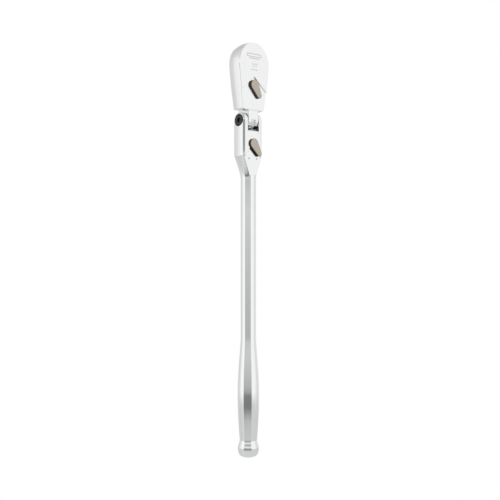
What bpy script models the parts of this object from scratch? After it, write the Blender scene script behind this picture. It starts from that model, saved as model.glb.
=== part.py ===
"""Locking flex-head ratchet wrench, 1/2 in square drive, in metres.

The wrench stands along Z with its head up. The thumb levers face -Y and the square drive points to +Y.
The world origin is the middle of the square drive's end. Inside the part every place is given from the
tool's own point: X = 0 and Y = 0 on the handle's centre line, Z = 0 on the drive gear's axis.
"""

from math import asin, atan2, cos, pi, radians, sin, sqrt

import bmesh
import bpy
from mathutils import Matrix, Vector

# Overall sizes
OVERALL_LENGTH = 0.456
HEAD_TOP = 0.026
HEAD_WIDTH = 0.0437
SHOULDER_WIDTH = 0.0312
SHOULDER_DROP = 0.0491
FLEX_DROP = 0.0595

# Head, front to back
FRONT_FACE = -0.0102
RECESS_DEPTH = 0.0012
BACK_FACE = 0.0086
FRONT_EDGE = 0.0013
BACK_EDGE = 0.0024
CHEVRON_TOP = -0.012
CHEVRON_SLOPE = 0.88

# Fits
RUNNING_FIT = 0.00005
SEAT_GAP = 0.00015
SIDE_GAP = 0.0003
TOOTH_GAP = 0.00012
PAWL_GAP = 0.0004
# how far a cutter runs past a face, and a joined solid into its neighbour
OVERRUN = 0.001

# Drive gear
DRIVE_SQUARE = 0.0127
DRIVE_LENGTH = 0.0154
GEAR_RADIUS = 0.0132
GEAR_TEETH = 72
TOOTH_DEPTH = 0.0007
TIP_LAND = 0.22
ROOT_LAND = 0.24
GEAR_FRONT = -0.0058
GEAR_BACK = 0.006
FRONT_JOURNAL = 0.0075
JOURNAL_DEPTH = 0.0016
BALL_RADIUS = 0.0021
BALL_PROUD = 0.0009
BALL_FROM_END = 0.0055
WELL_DEPTH = 0.0085

# Cavity and its cover
CAVITY_FRONT = -0.0064
COVER_THICKNESS = 0.002
COVER_SUNK = 0.0002
COVER_INSET = 0.002
COVER_FOOT = -0.0375
SCREW_RADIUS = 0.00125
SCREW_HEAD = 0.0022
SCREW_HEAD_DEPTH = 0.0012
SCREW_LENGTH = 0.0075
SCREW_PITCH_RADIUS = 0.0168
SCREW_ANGLE = radians(50)
LOW_SCREW = (WELL_DEPTH, -0.031)

# Pawls
PAWL_MIDDLE = radians(-52.5)
PAWL_TEETH = 5
PAWL_OUTER = 0.0166
PAWL_FRONT = -0.0058
PAWL_BACK = 0.0058
PAWL_SWING = radians(7)
PAWL_PIN = 0.00125
PAWL_BOSS = 0.0024
PAWL_NOSE = (0.0043, -0.0136)
PIN_SEAT = 0.0022
PAWL_SPRING_X = 0.0075
PAWL_SPRING_FOOT = -0.0245
SPRING_RADIUS = 0.00125
SPRING_WIRE = 0.0002

# Thumb levers
REVERSE_DROP = 0.021
LOCK_DROP = 0.085
LEVER_HUB = 0.0056
LEVER_TIP = 0.0032
LEVER_REACH = 0.0128
LEVER_BOSS = 0.0047
REVERSE_REST = radians(30)
LOCK_REST = radians(35)
REVERSE_TOP = -0.0121
REVERSE_UNDER = -0.0095
LOCK_TOP = -0.011
LOCK_UNDER = -0.0089
REVERSE_SHAFT = 0.0032
LOCK_SHAFT = 0.003
SEAL_WIDTH = 0.001
SEAL_DEPTH = 0.001

# Reverse cam and its detent
CAM_RADIUS = 0.0044
CAM_POCKET = 0.0052
FINGER_REACH = 0.0066
FINGER_WIDTH = 0.004
CLIP_THICKNESS = 0.0006
CLIP_RADIUS = 0.0046
CLIP_GROOVE = 0.0006
DETENT_RADIUS = 0.001
DETENT_FOOT = -0.0322

# Flex joint
EAR_RADIUS = 0.0086
TANG_WIDTH = 0.0138
WASHER_THICKNESS = 0.0004
HEAD_SUNK = 0.0002
SOCKET_RADIUS = 0.0029
SOCKET_DEPTH = 0.0022
WASHER_RADIUS = 0.0076
PIVOT_RADIUS = 0.0042
PIVOT_HEAD = 0.0066
PIVOT_HEAD_DEPTH = 0.0028
PIVOT_THREAD = 0.0036
SLOT_FLOOR_DROP = 0.0115
TANG_ROOT = 0.003
NOTCH_STEP = radians(15)
NOTCHES_EACH_WAY = 6
NOTCH_MOUTH = 0.0008
NOTCH_FLOOR = 0.00045
NOTCH_DEPTH = 0.00125
NOTCH_HALF_WIDTH = 0.0032

# Lock
LOCK_TRAVEL = 0.0014
LOCK_SWING = radians(70)
BOLT_RADIUS = 0.0034
BOLT_LENGTH = 0.024
TOOTH_HEIGHT = 0.0014
TOOTH_TIP = 0.0006
TOOTH_FOOT = 0.0014
TOOTH_CLEAR = 0.0003
ECCENTRIC_RADIUS = 0.0013
LOCK_PIN_RADIUS = 0.00075
LOCK_PIN_FRONT = -0.0052
LOCK_SPRING_LENGTH = 0.006

# Handle
YOKE_WIDTH = 0.0289
YOKE_THICKNESS = 0.0172
YOKE_CORNER = 0.0023
YOKE_RECESS = 0.0011
YOKE_RECESS_END = 0.119
YOKE_CHEVRON_TOP = -0.082
YOKE_CHEVRON_SLOPE = 1.6
TAPER_START = 0.098
TAPER_END = 0.122
SHANK_DIAMETER = 0.0171
GRIP_START = 0.131
GRIP_WIDEST = 0.0695
GRIP_DIAMETER = 0.0238
NECK_HEIGHT = 0.0197
NECK_DIAMETER = 0.0192
BULB_HEIGHT = 0.0112
BULB_DIAMETER = 0.0232

# Worked out from the sizes above
HANDLE_END = HEAD_TOP - OVERALL_LENGTH
RECESS_FACE = FRONT_FACE + RECESS_DEPTH
PIVOT_Z = -FLEX_DROP
SLOT_FLOOR = PIVOT_Z - SLOT_FLOOR_DROP
COVER_FACE = BACK_FACE - COVER_SUNK
COVER_UNDER = COVER_FACE - COVER_THICKNESS
JOURNAL_RADIUS = DRIVE_SQUARE * sqrt(0.5) + 0.0006
DRIVE_END = BACK_FACE + DRIVE_LENGTH
SLOT_WIDTH = TANG_WIDTH + 2 * (WASHER_THICKNESS + SIDE_GAP)
PITCH = 2 * pi / GEAR_TEETH
LEVER_Z = -REVERSE_DROP
LOCK_Z = -LOCK_DROP
ECCENTRIC = LOCK_TRAVEL / (2 * sin(LOCK_SWING / 2))
PIN_ARM = sqrt((GEAR_RADIUS + PAWL_GAP + PAWL_BOSS) ** 2 - (GEAR_RADIUS - TOOTH_DEPTH / 2) ** 2)
POCKET_RADIUS = PAWL_OUTER + PAWL_SWING * 0.0145 + 0.0003
BOLT_TIP = PIVOT_Z - EAR_RADIUS - TOOTH_CLEAR
BOLT_SHOULDER = BOLT_TIP - TOOTH_HEIGHT
BOLT_FOOT = BOLT_TIP - BOLT_LENGTH
BOLT_BORE_FOOT = BOLT_FOOT - LOCK_SPRING_LENGTH

# Directions a turned piece's own Z axis can point
ALONG_X = (0, radians(90), 0)
ALONG_Y = (radians(-90), 0, 0)
ALONG_Z = (0, 0, 0)
AGAINST_X = (0, radians(-90), 0)

# How finely round pieces are drawn
ROUND = 36
SMALL = 12
PIN_HOLE_SIDES = 14
HOLE = 16
CORNER_STEPS = 4
FLAT_STEPS = 2


def clear_scene():
    for item in list(bpy.data.objects):
        bpy.data.objects.remove(item, do_unlink=True)


def new_collection(name):
    collection = bpy.data.collections.new(name)
    bpy.context.scene.collection.children.link(collection)
    return collection


def place(obj, material, location=(0, 0, 0), rotation=(0, 0, 0)):
    """Put a piece, or a cutter where material is None, in its collection, on the tool's own point."""
    (PARTS if material else CUTTERS).objects.link(obj)
    obj.parent = TOOL
    obj.location = location
    obj.rotation_euler = rotation
    if material:
        obj.data.materials.clear()
        obj.data.materials.append(material)
    else:
        obj.hide_render = True
        obj.display_type = "WIRE"
    return obj


def smooth(obj):
    obj.data.shade_smooth()
    obj.data.set_sharp_from_angle(angle=radians(32))
    return obj


def mesh_object(name, bm):
    bmesh.ops.recalc_face_normals(bm, faces=bm.faces)
    if bm.calc_volume(signed=True) < 0:
        bmesh.ops.reverse_faces(bm, faces=bm.faces)
    mesh = bpy.data.meshes.new(name)
    bm.to_mesh(mesh)
    bm.free()
    return bpy.data.objects.new(name, mesh)


def cylinder(name, radius, low, high, material=None, at=(0, 0, 0), turn=ALONG_Z, sides=HOLE):
    """A cylinder from low to high along its turned axis."""
    bm = bmesh.new()
    bmesh.ops.create_cone(bm, cap_ends=True, segments=sides, radius1=radius, radius2=radius, depth=high - low)
    bmesh.ops.translate(bm, verts=bm.verts, vec=(0, 0, (low + high) / 2))
    return smooth(place(mesh_object(name, bm), material, at, turn))


def block(name, low, high, material=None, at=(0, 0, 0)):
    bm = bmesh.new()
    bmesh.ops.create_cube(bm, size=1)
    size = Vector(high) - Vector(low)
    bmesh.ops.scale(bm, verts=bm.verts, vec=size)
    bmesh.ops.translate(bm, verts=bm.verts, vec=(Vector(low) + Vector(high)) / 2)
    return place(mesh_object(name, bm), material, at)


def ball(name, radius, material, at):
    bm = bmesh.new()
    bmesh.ops.create_uvsphere(bm, u_segments=16, v_segments=10, radius=radius)
    return smooth(place(mesh_object(name, bm), material, at))


def slab(name, outline, low, high, material=None, at=(0, 0, 0), across="Y"):
    """A flat outline of (x, z) points, or of (y, z) points across X, from low to high through it."""
    curve = bpy.data.curves.new(name, "CURVE")
    curve.dimensions = "2D"
    curve.fill_mode = "BOTH"
    curve.extrude = (high - low) / 2
    spline = curve.splines.new("POLY")
    spline.points.add(len(outline) - 1)
    spline.use_cyclic_u = True
    for point, (u, v) in zip(spline.points, outline):
        point.co = (u, v, 0, 1)
    guide = bpy.data.objects.new(name + "_outline", curve)
    bpy.context.scene.collection.objects.link(guide)
    graph = bpy.context.evaluated_depsgraph_get()
    mesh = bpy.data.meshes.new_from_object(guide.evaluated_get(graph))
    bpy.data.objects.remove(guide)
    bm = bmesh.new()
    bm.from_mesh(mesh)
    bmesh.ops.remove_doubles(bm, verts=bm.verts, dist=1e-7)
    bmesh.ops.dissolve_limit(bm, angle_limit=radians(0.2), verts=bm.verts, edges=bm.edges)
    middle = (low + high) / 2
    for vert in bm.verts:
        u, v, w = vert.co
        vert.co = (u, w + middle, v) if across == "Y" else (w + middle, u, v)
    return smooth(place(mesh_object(name, bm), material, at))


def turned(name, profile, material=None, at=(0, 0, 0), turn=ALONG_Z, steps=ROUND, ring=False):
    """Turn (radius, height) points round the piece's own axis. The profile runs down its outer side."""
    mesh = bpy.data.meshes.new(name)
    count = len(profile)
    edges = [(i, i + 1) for i in range(count - 1)] + ([(count - 1, 0)] if ring else [])
    mesh.from_pydata([(radius, 0, height) for radius, height in profile], edges, [])
    obj = place(bpy.data.objects.new(name, mesh), material, at, turn)
    screw = obj.modifiers.new("turn", "SCREW")
    screw.axis = "Z"
    screw.steps = steps
    screw.render_steps = steps
    screw.use_merge_vertices = True
    screw.merge_threshold = 1e-6
    screw.use_smooth_shade = True
    return obj


def ring(name, inner, outer, low, high, material, at=(0, 0, 0), turn=ALONG_Y, steps=ROUND):
    profile = [(outer, high), (outer, low), (inner, low), (inner, high)]
    return turned(name, profile, material, at, turn, steps, ring=True)


def boolean(obj, tool, operation):
    modifier = obj.modifiers.new(tool.name, "BOOLEAN")
    modifier.operation = operation
    modifier.object = tool


def cut(obj, *tools):
    for tool in tools:
        boolean(obj, tool, "DIFFERENCE")


def join(obj, *tools):
    for tool in tools:
        boolean(obj, tool, "UNION")


def coil(name, foot, length, material, at, turn=ALONG_Z, turns=5, radius=SPRING_RADIUS):
    """A compression spring standing on its foot along its turned axis."""
    curve = bpy.data.curves.new(name, "CURVE")
    curve.dimensions = "3D"
    curve.bevel_depth = SPRING_WIRE
    curve.bevel_resolution = 1
    curve.use_fill_caps = True
    spline = curve.splines.new("POLY")
    steps = turns * 8
    spline.points.add(steps)
    rise = length - 2 * SPRING_WIRE
    middle = radius - SPRING_WIRE
    for i, point in enumerate(spline.points):
        angle = 2 * pi * turns * i / steps
        height = foot + SPRING_WIRE + rise * i / steps
        point.co = (middle * cos(angle), middle * sin(angle), height, 1)
    return place(bpy.data.objects.new(name, curve), material, at, turn)


def rotate(point, centre, angle):
    """Turn an (x, z) point from X towards Z about a centre."""
    dx = point[0] - centre[0]
    dz = point[1] - centre[1]
    return (centre[0] + dx * cos(angle) - dz * sin(angle), centre[1] + dx * sin(angle) + dz * cos(angle))


def polar(radius, angle, centre=(0, 0)):
    return (centre[0] + radius * cos(angle), centre[1] + radius * sin(angle))


def arc(radius, start, end, steps, centre=(0, 0)):
    return [polar(radius, start + (end - start) * i / steps, centre) for i in range(steps + 1)]


def bezier(start, first, second, end, steps):
    points = []
    for i in range(steps):
        t = i / steps
        weights = ((1 - t) ** 3, 3 * t * (1 - t) ** 2, 3 * t * t * (1 - t), t ** 3)
        corners = (start, first, second, end)
        points.append(tuple(sum(w * c[k] for w, c in zip(weights, corners)) for k in (0, 1)))
    return points


def mirrored(half):
    """Close a half outline, given from top centre down the right side, with its mirror image."""
    return half + [(-x, z) for x, z in reversed(half) if x > 1e-9]


def head_half(inset=0.0):
    """Right half of the teardrop, from the crown down to the top of the shoulder's corner."""
    wide = HEAD_WIDTH / 2 - inset
    top = HEAD_TOP - inset
    foot = SHOULDER_WIDTH / 2 - inset
    level = 0.002
    bend = 0.5523
    crown = bezier((0, top), (bend * wide, top), (wide, level + bend * (top - level)), (wide, level), 12)
    slope = (wide - foot) * 0.45
    side_foot = -(SHOULDER_DROP - 0.0025)
    side = bezier((wide, level), (wide, -0.007), (foot + slope, -0.03), (foot, side_foot), 8)
    return crown + side


def head_outline():
    corner = 0.0025
    foot = SHOULDER_WIDTH / 2
    centre = (foot - corner, -SHOULDER_DROP + corner)
    return mirrored(head_half() + arc(corner, 0, -pi / 2, 4, centre))


def cover_outline(gap=0.0):
    """The head's teardrop drawn in, with a rounded foot."""
    inset = COVER_INSET - gap
    half = [point for point in head_half(inset) if point[1] > COVER_FOOT + 0.006]
    last = half.pop()
    low = COVER_FOOT - gap
    half += bezier(last, (last[0] * 0.97, low + 0.002), (last[0] * 0.8, low), (last[0] * 0.45, low), 6)
    half.append((last[0] * 0.45, low))
    return mirrored(half)


def chevron(top, slope, reach, foot):
    """Everything below a roof-shaped line, as wide as reach on each side."""
    return [(0, top), (reach, top - slope * reach), (reach, foot), (-reach, foot), (-reach, top - slope * reach)]


def round_rim(obj, level, width, steps=3):
    """Round the edges of the flat face at y = level."""
    bm = bmesh.new()
    bm.from_mesh(obj.data)
    rim = [edge for edge in bm.edges
           if all(abs(vert.co.y - level) < 1e-6 for vert in edge.verts) and len(edge.link_faces) == 2
           and abs(edge.calc_face_angle(0)) > radians(60)]
    bmesh.ops.bevel(bm, geom=rim, offset=width, segments=steps, profile=0.5, affect="EDGES")
    bm.to_mesh(obj.data)
    bm.free()
    return smooth(obj)


def pawl_pin_point():
    """On the line along which the pawl's middle tooth faces the gear, so that it lifts straight out."""
    touch = polar(GEAR_RADIUS - TOOTH_DEPTH / 2, PAWL_MIDDLE)
    return (touch[0] - PIN_ARM * sin(PAWL_MIDDLE), touch[1] + PIN_ARM * cos(PAWL_MIDDLE))


def gear_outline():
    points = []
    for tooth in range(GEAR_TEETH):
        middle = tooth * PITCH
        points.append(polar(GEAR_RADIUS, middle - TIP_LAND * PITCH / 2))
        points.append(polar(GEAR_RADIUS, middle + TIP_LAND * PITCH / 2))
        points.append(polar(GEAR_RADIUS - TOOTH_DEPTH, middle + (1 - ROOT_LAND) * PITCH / 2))
        points.append(polar(GEAR_RADIUS - TOOTH_DEPTH, middle + (1 + ROOT_LAND) * PITCH / 2))
    return points


def points_angle(point):
    return atan2(point[1], point[0])


def pawl_outline():
    """The right pawl in mesh: its toothed face, its nose below, its outer side and the boss on its pin."""
    first = round((PAWL_MIDDLE - PAWL_TEETH * PITCH / 2) / PITCH) * PITCH
    points = []
    for tooth in range(PAWL_TEETH):
        middle = first + (tooth + 0.5) * PITCH
        valley = GEAR_RADIUS + TOOTH_GAP
        peak = GEAR_RADIUS - TOOTH_DEPTH + TOOTH_GAP
        points.append(polar(valley, middle - (1 - TIP_LAND) * PITCH / 2))
        points.append(polar(peak, middle - ROOT_LAND * PITCH / 2))
        points.append(polar(peak, middle + ROOT_LAND * PITCH / 2))
        points.append(polar(valley, middle + (1 - TIP_LAND) * PITCH / 2))
    pin = pawl_pin_point()
    bearing = atan2(pin[1], pin[0])
    points += arc(GEAR_RADIUS + PAWL_GAP, points_angle(points[-1]) + PITCH / 2, bearing - radians(9), 3)
    points += arc(PAWL_BOSS, bearing + pi, bearing - 0.9, 8, pin)
    nose_end = -sqrt(PAWL_OUTER ** 2 - (PAWL_NOSE[0] + 0.0003) ** 2)
    outer_end = atan2(nose_end, PAWL_NOSE[0] + 0.0003)
    points += arc(PAWL_OUTER, bearing - radians(9), outer_end, 9)
    points.append(PAWL_NOSE)
    return points


def add_pawl(side, material):
    """side is 1 for the right pawl, in mesh at rest, and -1 for the left one, lifted out at rest."""
    name = "right" if side > 0 else "left"
    pin = pawl_pin_point()
    swing = 0 if side > 0 else PAWL_SWING
    outline = [rotate(point, pin, swing) for point in pawl_outline()]
    outline = [(side * (x - pin[0]), z - pin[1]) for x, z in outline]
    at = (side * pin[0], 0, pin[1])
    pawl = slab("pawl_" + name, outline, PAWL_FRONT, PAWL_BACK, material, at)
    bore = cylinder("bore_pawl_" + name, PAWL_PIN + RUNNING_FIT, PAWL_FRONT - OVERRUN, PAWL_BACK + OVERRUN,
                    at=at, turn=ALONG_Y, sides=SMALL)
    cut(pawl, bore)
    pin_front = CAVITY_FRONT - PIN_SEAT
    cylinder("pawl_pin_" + name, PAWL_PIN, pin_front + SEAT_GAP, COVER_UNDER - SEAT_GAP,
             material, at, ALONG_Y, SMALL)
    centre = rotate((0, 0), pin, swing)
    near_side = PAWL_SPRING_X - SPRING_RADIUS - centre[0]
    spring_top = centre[1] - sqrt(PAWL_OUTER ** 2 - near_side ** 2) - SEAT_GAP
    coil("pawl_spring_" + name, PAWL_SPRING_FOOT, spring_top - PAWL_SPRING_FOOT, MATERIALS["spring"],
         (side * PAWL_SPRING_X, 0, 0))


def lever_outline(grow=0.0):
    """A teardrop pointing straight down from its hub at the origin."""
    lean = asin((LEVER_HUB - LEVER_TIP) / LEVER_REACH)
    hub = arc(LEVER_HUB + grow, -lean, pi + lean, 16)
    tip = arc(LEVER_TIP + grow, pi + lean, 2 * pi - lean, 8, (0, -LEVER_REACH))
    return hub + tip


def add_lever(name, at_z, rest, top, under, boss_foot, shaft, shaft_end):
    """A thumb lever: teardrop plate, round boss and shaft. rest is its tip's angle right of straight down."""
    outline = [rotate(point, (0, 0), rest) for point in lever_outline()]
    at = (0, 0, at_z)
    lever = slab(name, outline, top, under, MATERIALS["lever"], at)
    round_rim(lever, top, 0.0004, 2)
    boss = cylinder(name + "_boss", LEVER_BOSS, under - 0.0005, boss_foot, at=at, turn=ALONG_Y, sides=ROUND)
    rod = cylinder(name + "_rod", shaft, boss_foot - 0.0005, shaft_end, at=at, turn=ALONG_Y, sides=ROUND)
    join(lever, boss, rod)
    return lever


def add_head():
    head = slab("head_body", head_outline(), FRONT_FACE, BACK_FACE, MATERIALS["chrome"], (0, 0, PIVOT_Z))
    head.data.transform(Matrix.Translation((0, 0, FLEX_DROP)))
    round_rim(head, FRONT_FACE, FRONT_EDGE)
    round_rim(head, BACK_FACE, BACK_EDGE)
    recess = slab("head_recess", chevron(CHEVRON_TOP, CHEVRON_SLOPE, HEAD_WIDTH, -2 * SHOULDER_DROP),
                  FRONT_FACE - 0.01, RECESS_FACE)
    tang = slab("tang", tang_outline(), -TANG_WIDTH / 2, TANG_WIDTH / 2, at=(0, 0, PIVOT_Z), across="X")
    notches = slab("tang_notches", notch_comb(), -NOTCH_HALF_WIDTH, NOTCH_HALF_WIDTH, at=(0, 0, PIVOT_Z),
                   across="X")
    pivot_bore = cylinder("tang_bore", PIVOT_RADIUS + RUNNING_FIT, -TANG_WIDTH, TANG_WIDTH,
                          at=(0, 0, PIVOT_Z), turn=ALONG_X, sides=ROUND)
    cut(head, recess)
    join(head, tang)
    cut(head, pivot_bore, notches)
    cut(head, *cavity_cutters())


def tang_outline():
    """Side view of the tang about the pivot, with its round end."""
    root = FLEX_DROP - SHOULDER_DROP + TANG_ROOT
    return [(EAR_RADIUS, root)] + arc(EAR_RADIUS, 0, -pi, ROUND) + [(-EAR_RADIUS, root)]


def notch_comb():
    """What is cut from the tang's round end: a notch at every lock position, joined just clear of it."""
    clear = EAR_RADIUS + SEAT_GAP
    points = []
    for notch in range(NOTCHES_EACH_WAY, -NOTCHES_EACH_WAY - 1, -1):
        angle = -pi / 2 + notch * NOTCH_STEP
        out = (cos(angle), sin(angle))
        along = (-sin(angle), cos(angle))
        floor = EAR_RADIUS - NOTCH_DEPTH
        corners = ((clear, NOTCH_MOUTH), (floor, NOTCH_FLOOR), (floor, -NOTCH_FLOOR), (clear, -NOTCH_MOUTH))
        for radius, aside in corners:
            points.append((radius * out[0] + aside * along[0], radius * out[1] + aside * along[1]))
    spread = NOTCHES_EACH_WAY * NOTCH_STEP + NOTCH_STEP / 2
    return points + arc(EAR_RADIUS * 1.2, -pi / 2 - spread, -pi / 2 + spread, ROUND)


def cavity_cutters():
    """Everything that is machined out of the head from its drive side, and the lever's bore from the front."""
    past = BACK_FACE + 0.002
    gear_bore = cylinder("gear_bore", GEAR_RADIUS + SIDE_GAP, CAVITY_FRONT, past, turn=ALONG_Y, sides=ROUND)
    journal_bore = cylinder("journal_bore", FRONT_JOURNAL + RUNNING_FIT, CAVITY_FRONT - JOURNAL_DEPTH - SEAT_GAP,
                            past, turn=ALONG_Y, sides=ROUND)
    pin = pawl_pin_point()
    brow = points_angle(pin) + radians(5)
    pocket = slab("pawl_pocket", arc(POCKET_RADIUS, -pi - brow, brow, 24), CAVITY_FRONT, past)
    cam_pocket = cylinder("cam_pocket", CAM_POCKET, CAVITY_FRONT, past, at=(0, 0, LEVER_Z), turn=ALONG_Y,
                          sides=ROUND)
    cover_seat = slab("cover_seat", cover_outline(SEAT_GAP), COVER_UNDER - SEAT_GAP, past)
    cutters = [cover_seat, gear_bore, pocket, cam_pocket, journal_bore]
    for side in (-1, 1):
        at = (side * pin[0], 0, pin[1])
        cutters.append(cylinder("boss_room", PAWL_BOSS + SIDE_GAP, CAVITY_FRONT, past, at=at, turn=ALONG_Y))
        cutters.append(cylinder("pin_seat", PAWL_PIN + RUNNING_FIT, CAVITY_FRONT - PIN_SEAT, past, at=at,
                                turn=ALONG_Y, sides=SMALL))
        cutters.append(cylinder("spring_well", SPRING_RADIUS + SIDE_GAP, PAWL_SPRING_FOOT - SEAT_GAP,
                                -PAWL_OUTER * 0.9, at=(side * PAWL_SPRING_X, 0, 0), sides=SMALL))
    for x, z in screw_points():
        cutters.append(cylinder("screw_hole", SCREW_RADIUS + RUNNING_FIT, COVER_UNDER - SCREW_LENGTH - OVERRUN,
                                past, at=(x, 0, z), turn=ALONG_Y, sides=SMALL))
    cutters.append(cylinder("detent_well", DETENT_RADIUS + RUNNING_FIT, DETENT_FOOT, LEVER_Z - CAM_RADIUS,
                            sides=SMALL))
    at = (0, 0, LEVER_Z)
    cutters.append(cylinder("lever_bore", REVERSE_SHAFT + RUNNING_FIT, FRONT_FACE - OVERRUN, CAVITY_FRONT + OVERRUN,
                            at=at, turn=ALONG_Y, sides=ROUND))
    cutters.append(cylinder("seal_seat", REVERSE_SHAFT + SEAL_WIDTH + SEAT_GAP, FRONT_FACE - OVERRUN,
                            RECESS_FACE + SEAL_DEPTH + SEAT_GAP, at=at, turn=ALONG_Y, sides=ROUND))
    return cutters


def screw_points():
    upper = [polar(SCREW_PITCH_RADIUS, angle) for angle in (SCREW_ANGLE, pi - SCREW_ANGLE)]
    return upper + [LOW_SCREW, (-LOW_SCREW[0], LOW_SCREW[1])]


def add_cover():
    cover = slab("cover_plate", cover_outline(), COVER_UNDER, COVER_FACE, MATERIALS["chrome"])
    cut(cover, cylinder("drive_window", JOURNAL_RADIUS + RUNNING_FIT, COVER_UNDER - OVERRUN, COVER_FACE + OVERRUN,
                        turn=ALONG_Y, sides=ROUND))
    for number, (x, z) in enumerate(screw_points(), 1):
        at = (x, 0, z)
        seat = COVER_FACE - SCREW_HEAD_DEPTH
        cut(cover, cylinder("screw_seat", SCREW_HEAD + SEAT_GAP, seat - SEAT_GAP, COVER_FACE + OVERRUN, at=at,
                            turn=ALONG_Y, sides=HOLE),
            cylinder("screw_pass", SCREW_RADIUS + SEAT_GAP, COVER_UNDER - OVERRUN, COVER_FACE, at=at,
                     turn=ALONG_Y, sides=SMALL))
        socket = SCREW_HEAD * 0.5
        profile = [(0, COVER_FACE - 0.0008), (socket, COVER_FACE - 0.0008), (socket, COVER_FACE)]
        profile += [(SCREW_HEAD - 0.0002, COVER_FACE), (SCREW_HEAD, COVER_FACE - 0.0002), (SCREW_HEAD, seat)]
        end = COVER_UNDER - SCREW_LENGTH
        profile += [(SCREW_RADIUS, seat), (SCREW_RADIUS, end), (0, end)]
        turned(f"cover_screw_{number}", profile, MATERIALS["screw"], at, ALONG_Y, SMALL)


def add_drive():
    gear = slab("drive_gear", gear_outline(), GEAR_FRONT, GEAR_BACK, MATERIALS["steel"])
    front = CAVITY_FRONT - JOURNAL_DEPTH
    journal = cylinder("front_journal", FRONT_JOURNAL, front, GEAR_FRONT + OVERRUN, turn=ALONG_Y, sides=ROUND)
    collar = cylinder("back_journal", JOURNAL_RADIUS, GEAR_BACK - OVERRUN, BACK_FACE, turn=ALONG_Y, sides=ROUND)
    half = DRIVE_SQUARE / 2
    anvil = block("anvil", (-half, BACK_FACE - OVERRUN, -half), (half, DRIVE_END, half))
    bevel_block(anvil, 0.0009)
    well_y = DRIVE_END - BALL_FROM_END
    well = cylinder("ball_well", BALL_RADIUS + RUNNING_FIT, -half - OVERRUN, -half + WELL_DEPTH,
                    at=(0, well_y, 0), turn=ALONG_X, sides=HOLE)
    join(gear, journal, collar, anvil)
    cut(gear, well)
    centre = -half - BALL_PROUD + BALL_RADIUS
    ball("anvil_ball", BALL_RADIUS, MATERIALS["steel"], (centre, well_y, 0))
    foot = -half + WELL_DEPTH - SEAT_GAP
    coil("anvil_spring", -foot, foot - centre - BALL_RADIUS - SEAT_GAP, MATERIALS["spring"], (0, well_y, 0),
         AGAINST_X, 4)
    ring("gear_washer", FRONT_JOURNAL + SEAT_GAP, GEAR_RADIUS - 0.0016, CAVITY_FRONT + 0.00008,
         GEAR_FRONT - 0.00008, MATERIALS["steel"])


def bevel_block(obj, width):
    bm = bmesh.new()
    bm.from_mesh(obj.data)
    bmesh.ops.bevel(bm, geom=list(bm.edges), offset=width, segments=2, profile=0.5, affect="EDGES")
    bm.to_mesh(obj.data)
    bm.free()


def add_reverse():
    lever = add_lever("reverse_lever", LEVER_Z, REVERSE_REST, REVERSE_TOP, REVERSE_UNDER,
                      RECESS_FACE - SEAT_GAP, REVERSE_SHAFT, COVER_UNDER - SIDE_GAP)
    at = (0, 0, LEVER_Z)
    clip_front = CAVITY_FRONT + SEAT_GAP
    clip_back = clip_front + CLIP_THICKNESS
    groove = REVERSE_SHAFT - CLIP_GROOVE
    cut(lever, ring("clip_groove", groove, REVERSE_SHAFT + OVERRUN, clip_front - SEAT_GAP / 2,
                    clip_back + SEAT_GAP / 2, None, at))
    ring("reverse_seal", REVERSE_SHAFT + RUNNING_FIT, REVERSE_SHAFT + SEAL_WIDTH, RECESS_FACE + RUNNING_FIT,
         RECESS_FACE + SEAL_DEPTH, MATERIALS["rubber"], at)
    gap = radians(35)
    clip = arc(CLIP_RADIUS, gap, 2 * pi - gap, 20) + arc(groove + RUNNING_FIT * 2, 2 * pi - gap, gap, 20)
    clip = [rotate(point, (0, 0), -pi / 2) for point in clip]
    slab("reverse_clip", clip, clip_front, clip_back, MATERIALS["spring"], at)
    half = FINGER_WIDTH / 2
    side = asin(half / CAM_RADIUS)
    notch = DETENT_RADIUS * 0.6
    rim = [(half, FINGER_REACH), (-half, FINGER_REACH)]
    rim += arc(CAM_RADIUS, pi / 2 + side, 3 * pi / 2 - REVERSE_REST - 0.25, 8)
    rim.append(polar(CAM_RADIUS - notch, 3 * pi / 2 - REVERSE_REST))
    rim += arc(CAM_RADIUS, 3 * pi / 2 - REVERSE_REST + 0.25, 3 * pi / 2 + REVERSE_REST - 0.25, 3)
    rim.append(polar(CAM_RADIUS - notch, 3 * pi / 2 + REVERSE_REST))
    rim += arc(CAM_RADIUS, 3 * pi / 2 + REVERSE_REST + 0.25, 5 * pi / 2 - side, 8)
    rim = [rotate(point, (0, 0), REVERSE_REST) for point in rim]
    cam = slab("reverse_cam", rim, clip_back + SEAT_GAP, PAWL_BACK, MATERIALS["steel"], at)
    cut(cam, cylinder("cam_bore", REVERSE_SHAFT + RUNNING_FIT, CAVITY_FRONT, BACK_FACE, at=at, turn=ALONG_Y,
                      sides=ROUND))
    ball_z = LEVER_Z - CAM_RADIUS - DETENT_RADIUS - RUNNING_FIT
    ball("detent_ball", DETENT_RADIUS, MATERIALS["steel"], (0, 0, ball_z))
    coil("detent_spring", DETENT_FOOT + SEAT_GAP, ball_z - DETENT_RADIUS - 2 * SEAT_GAP - DETENT_FOOT,
         MATERIALS["spring"], (0, 0, 0), turns=4, radius=DETENT_RADIUS - 0.0001)


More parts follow.
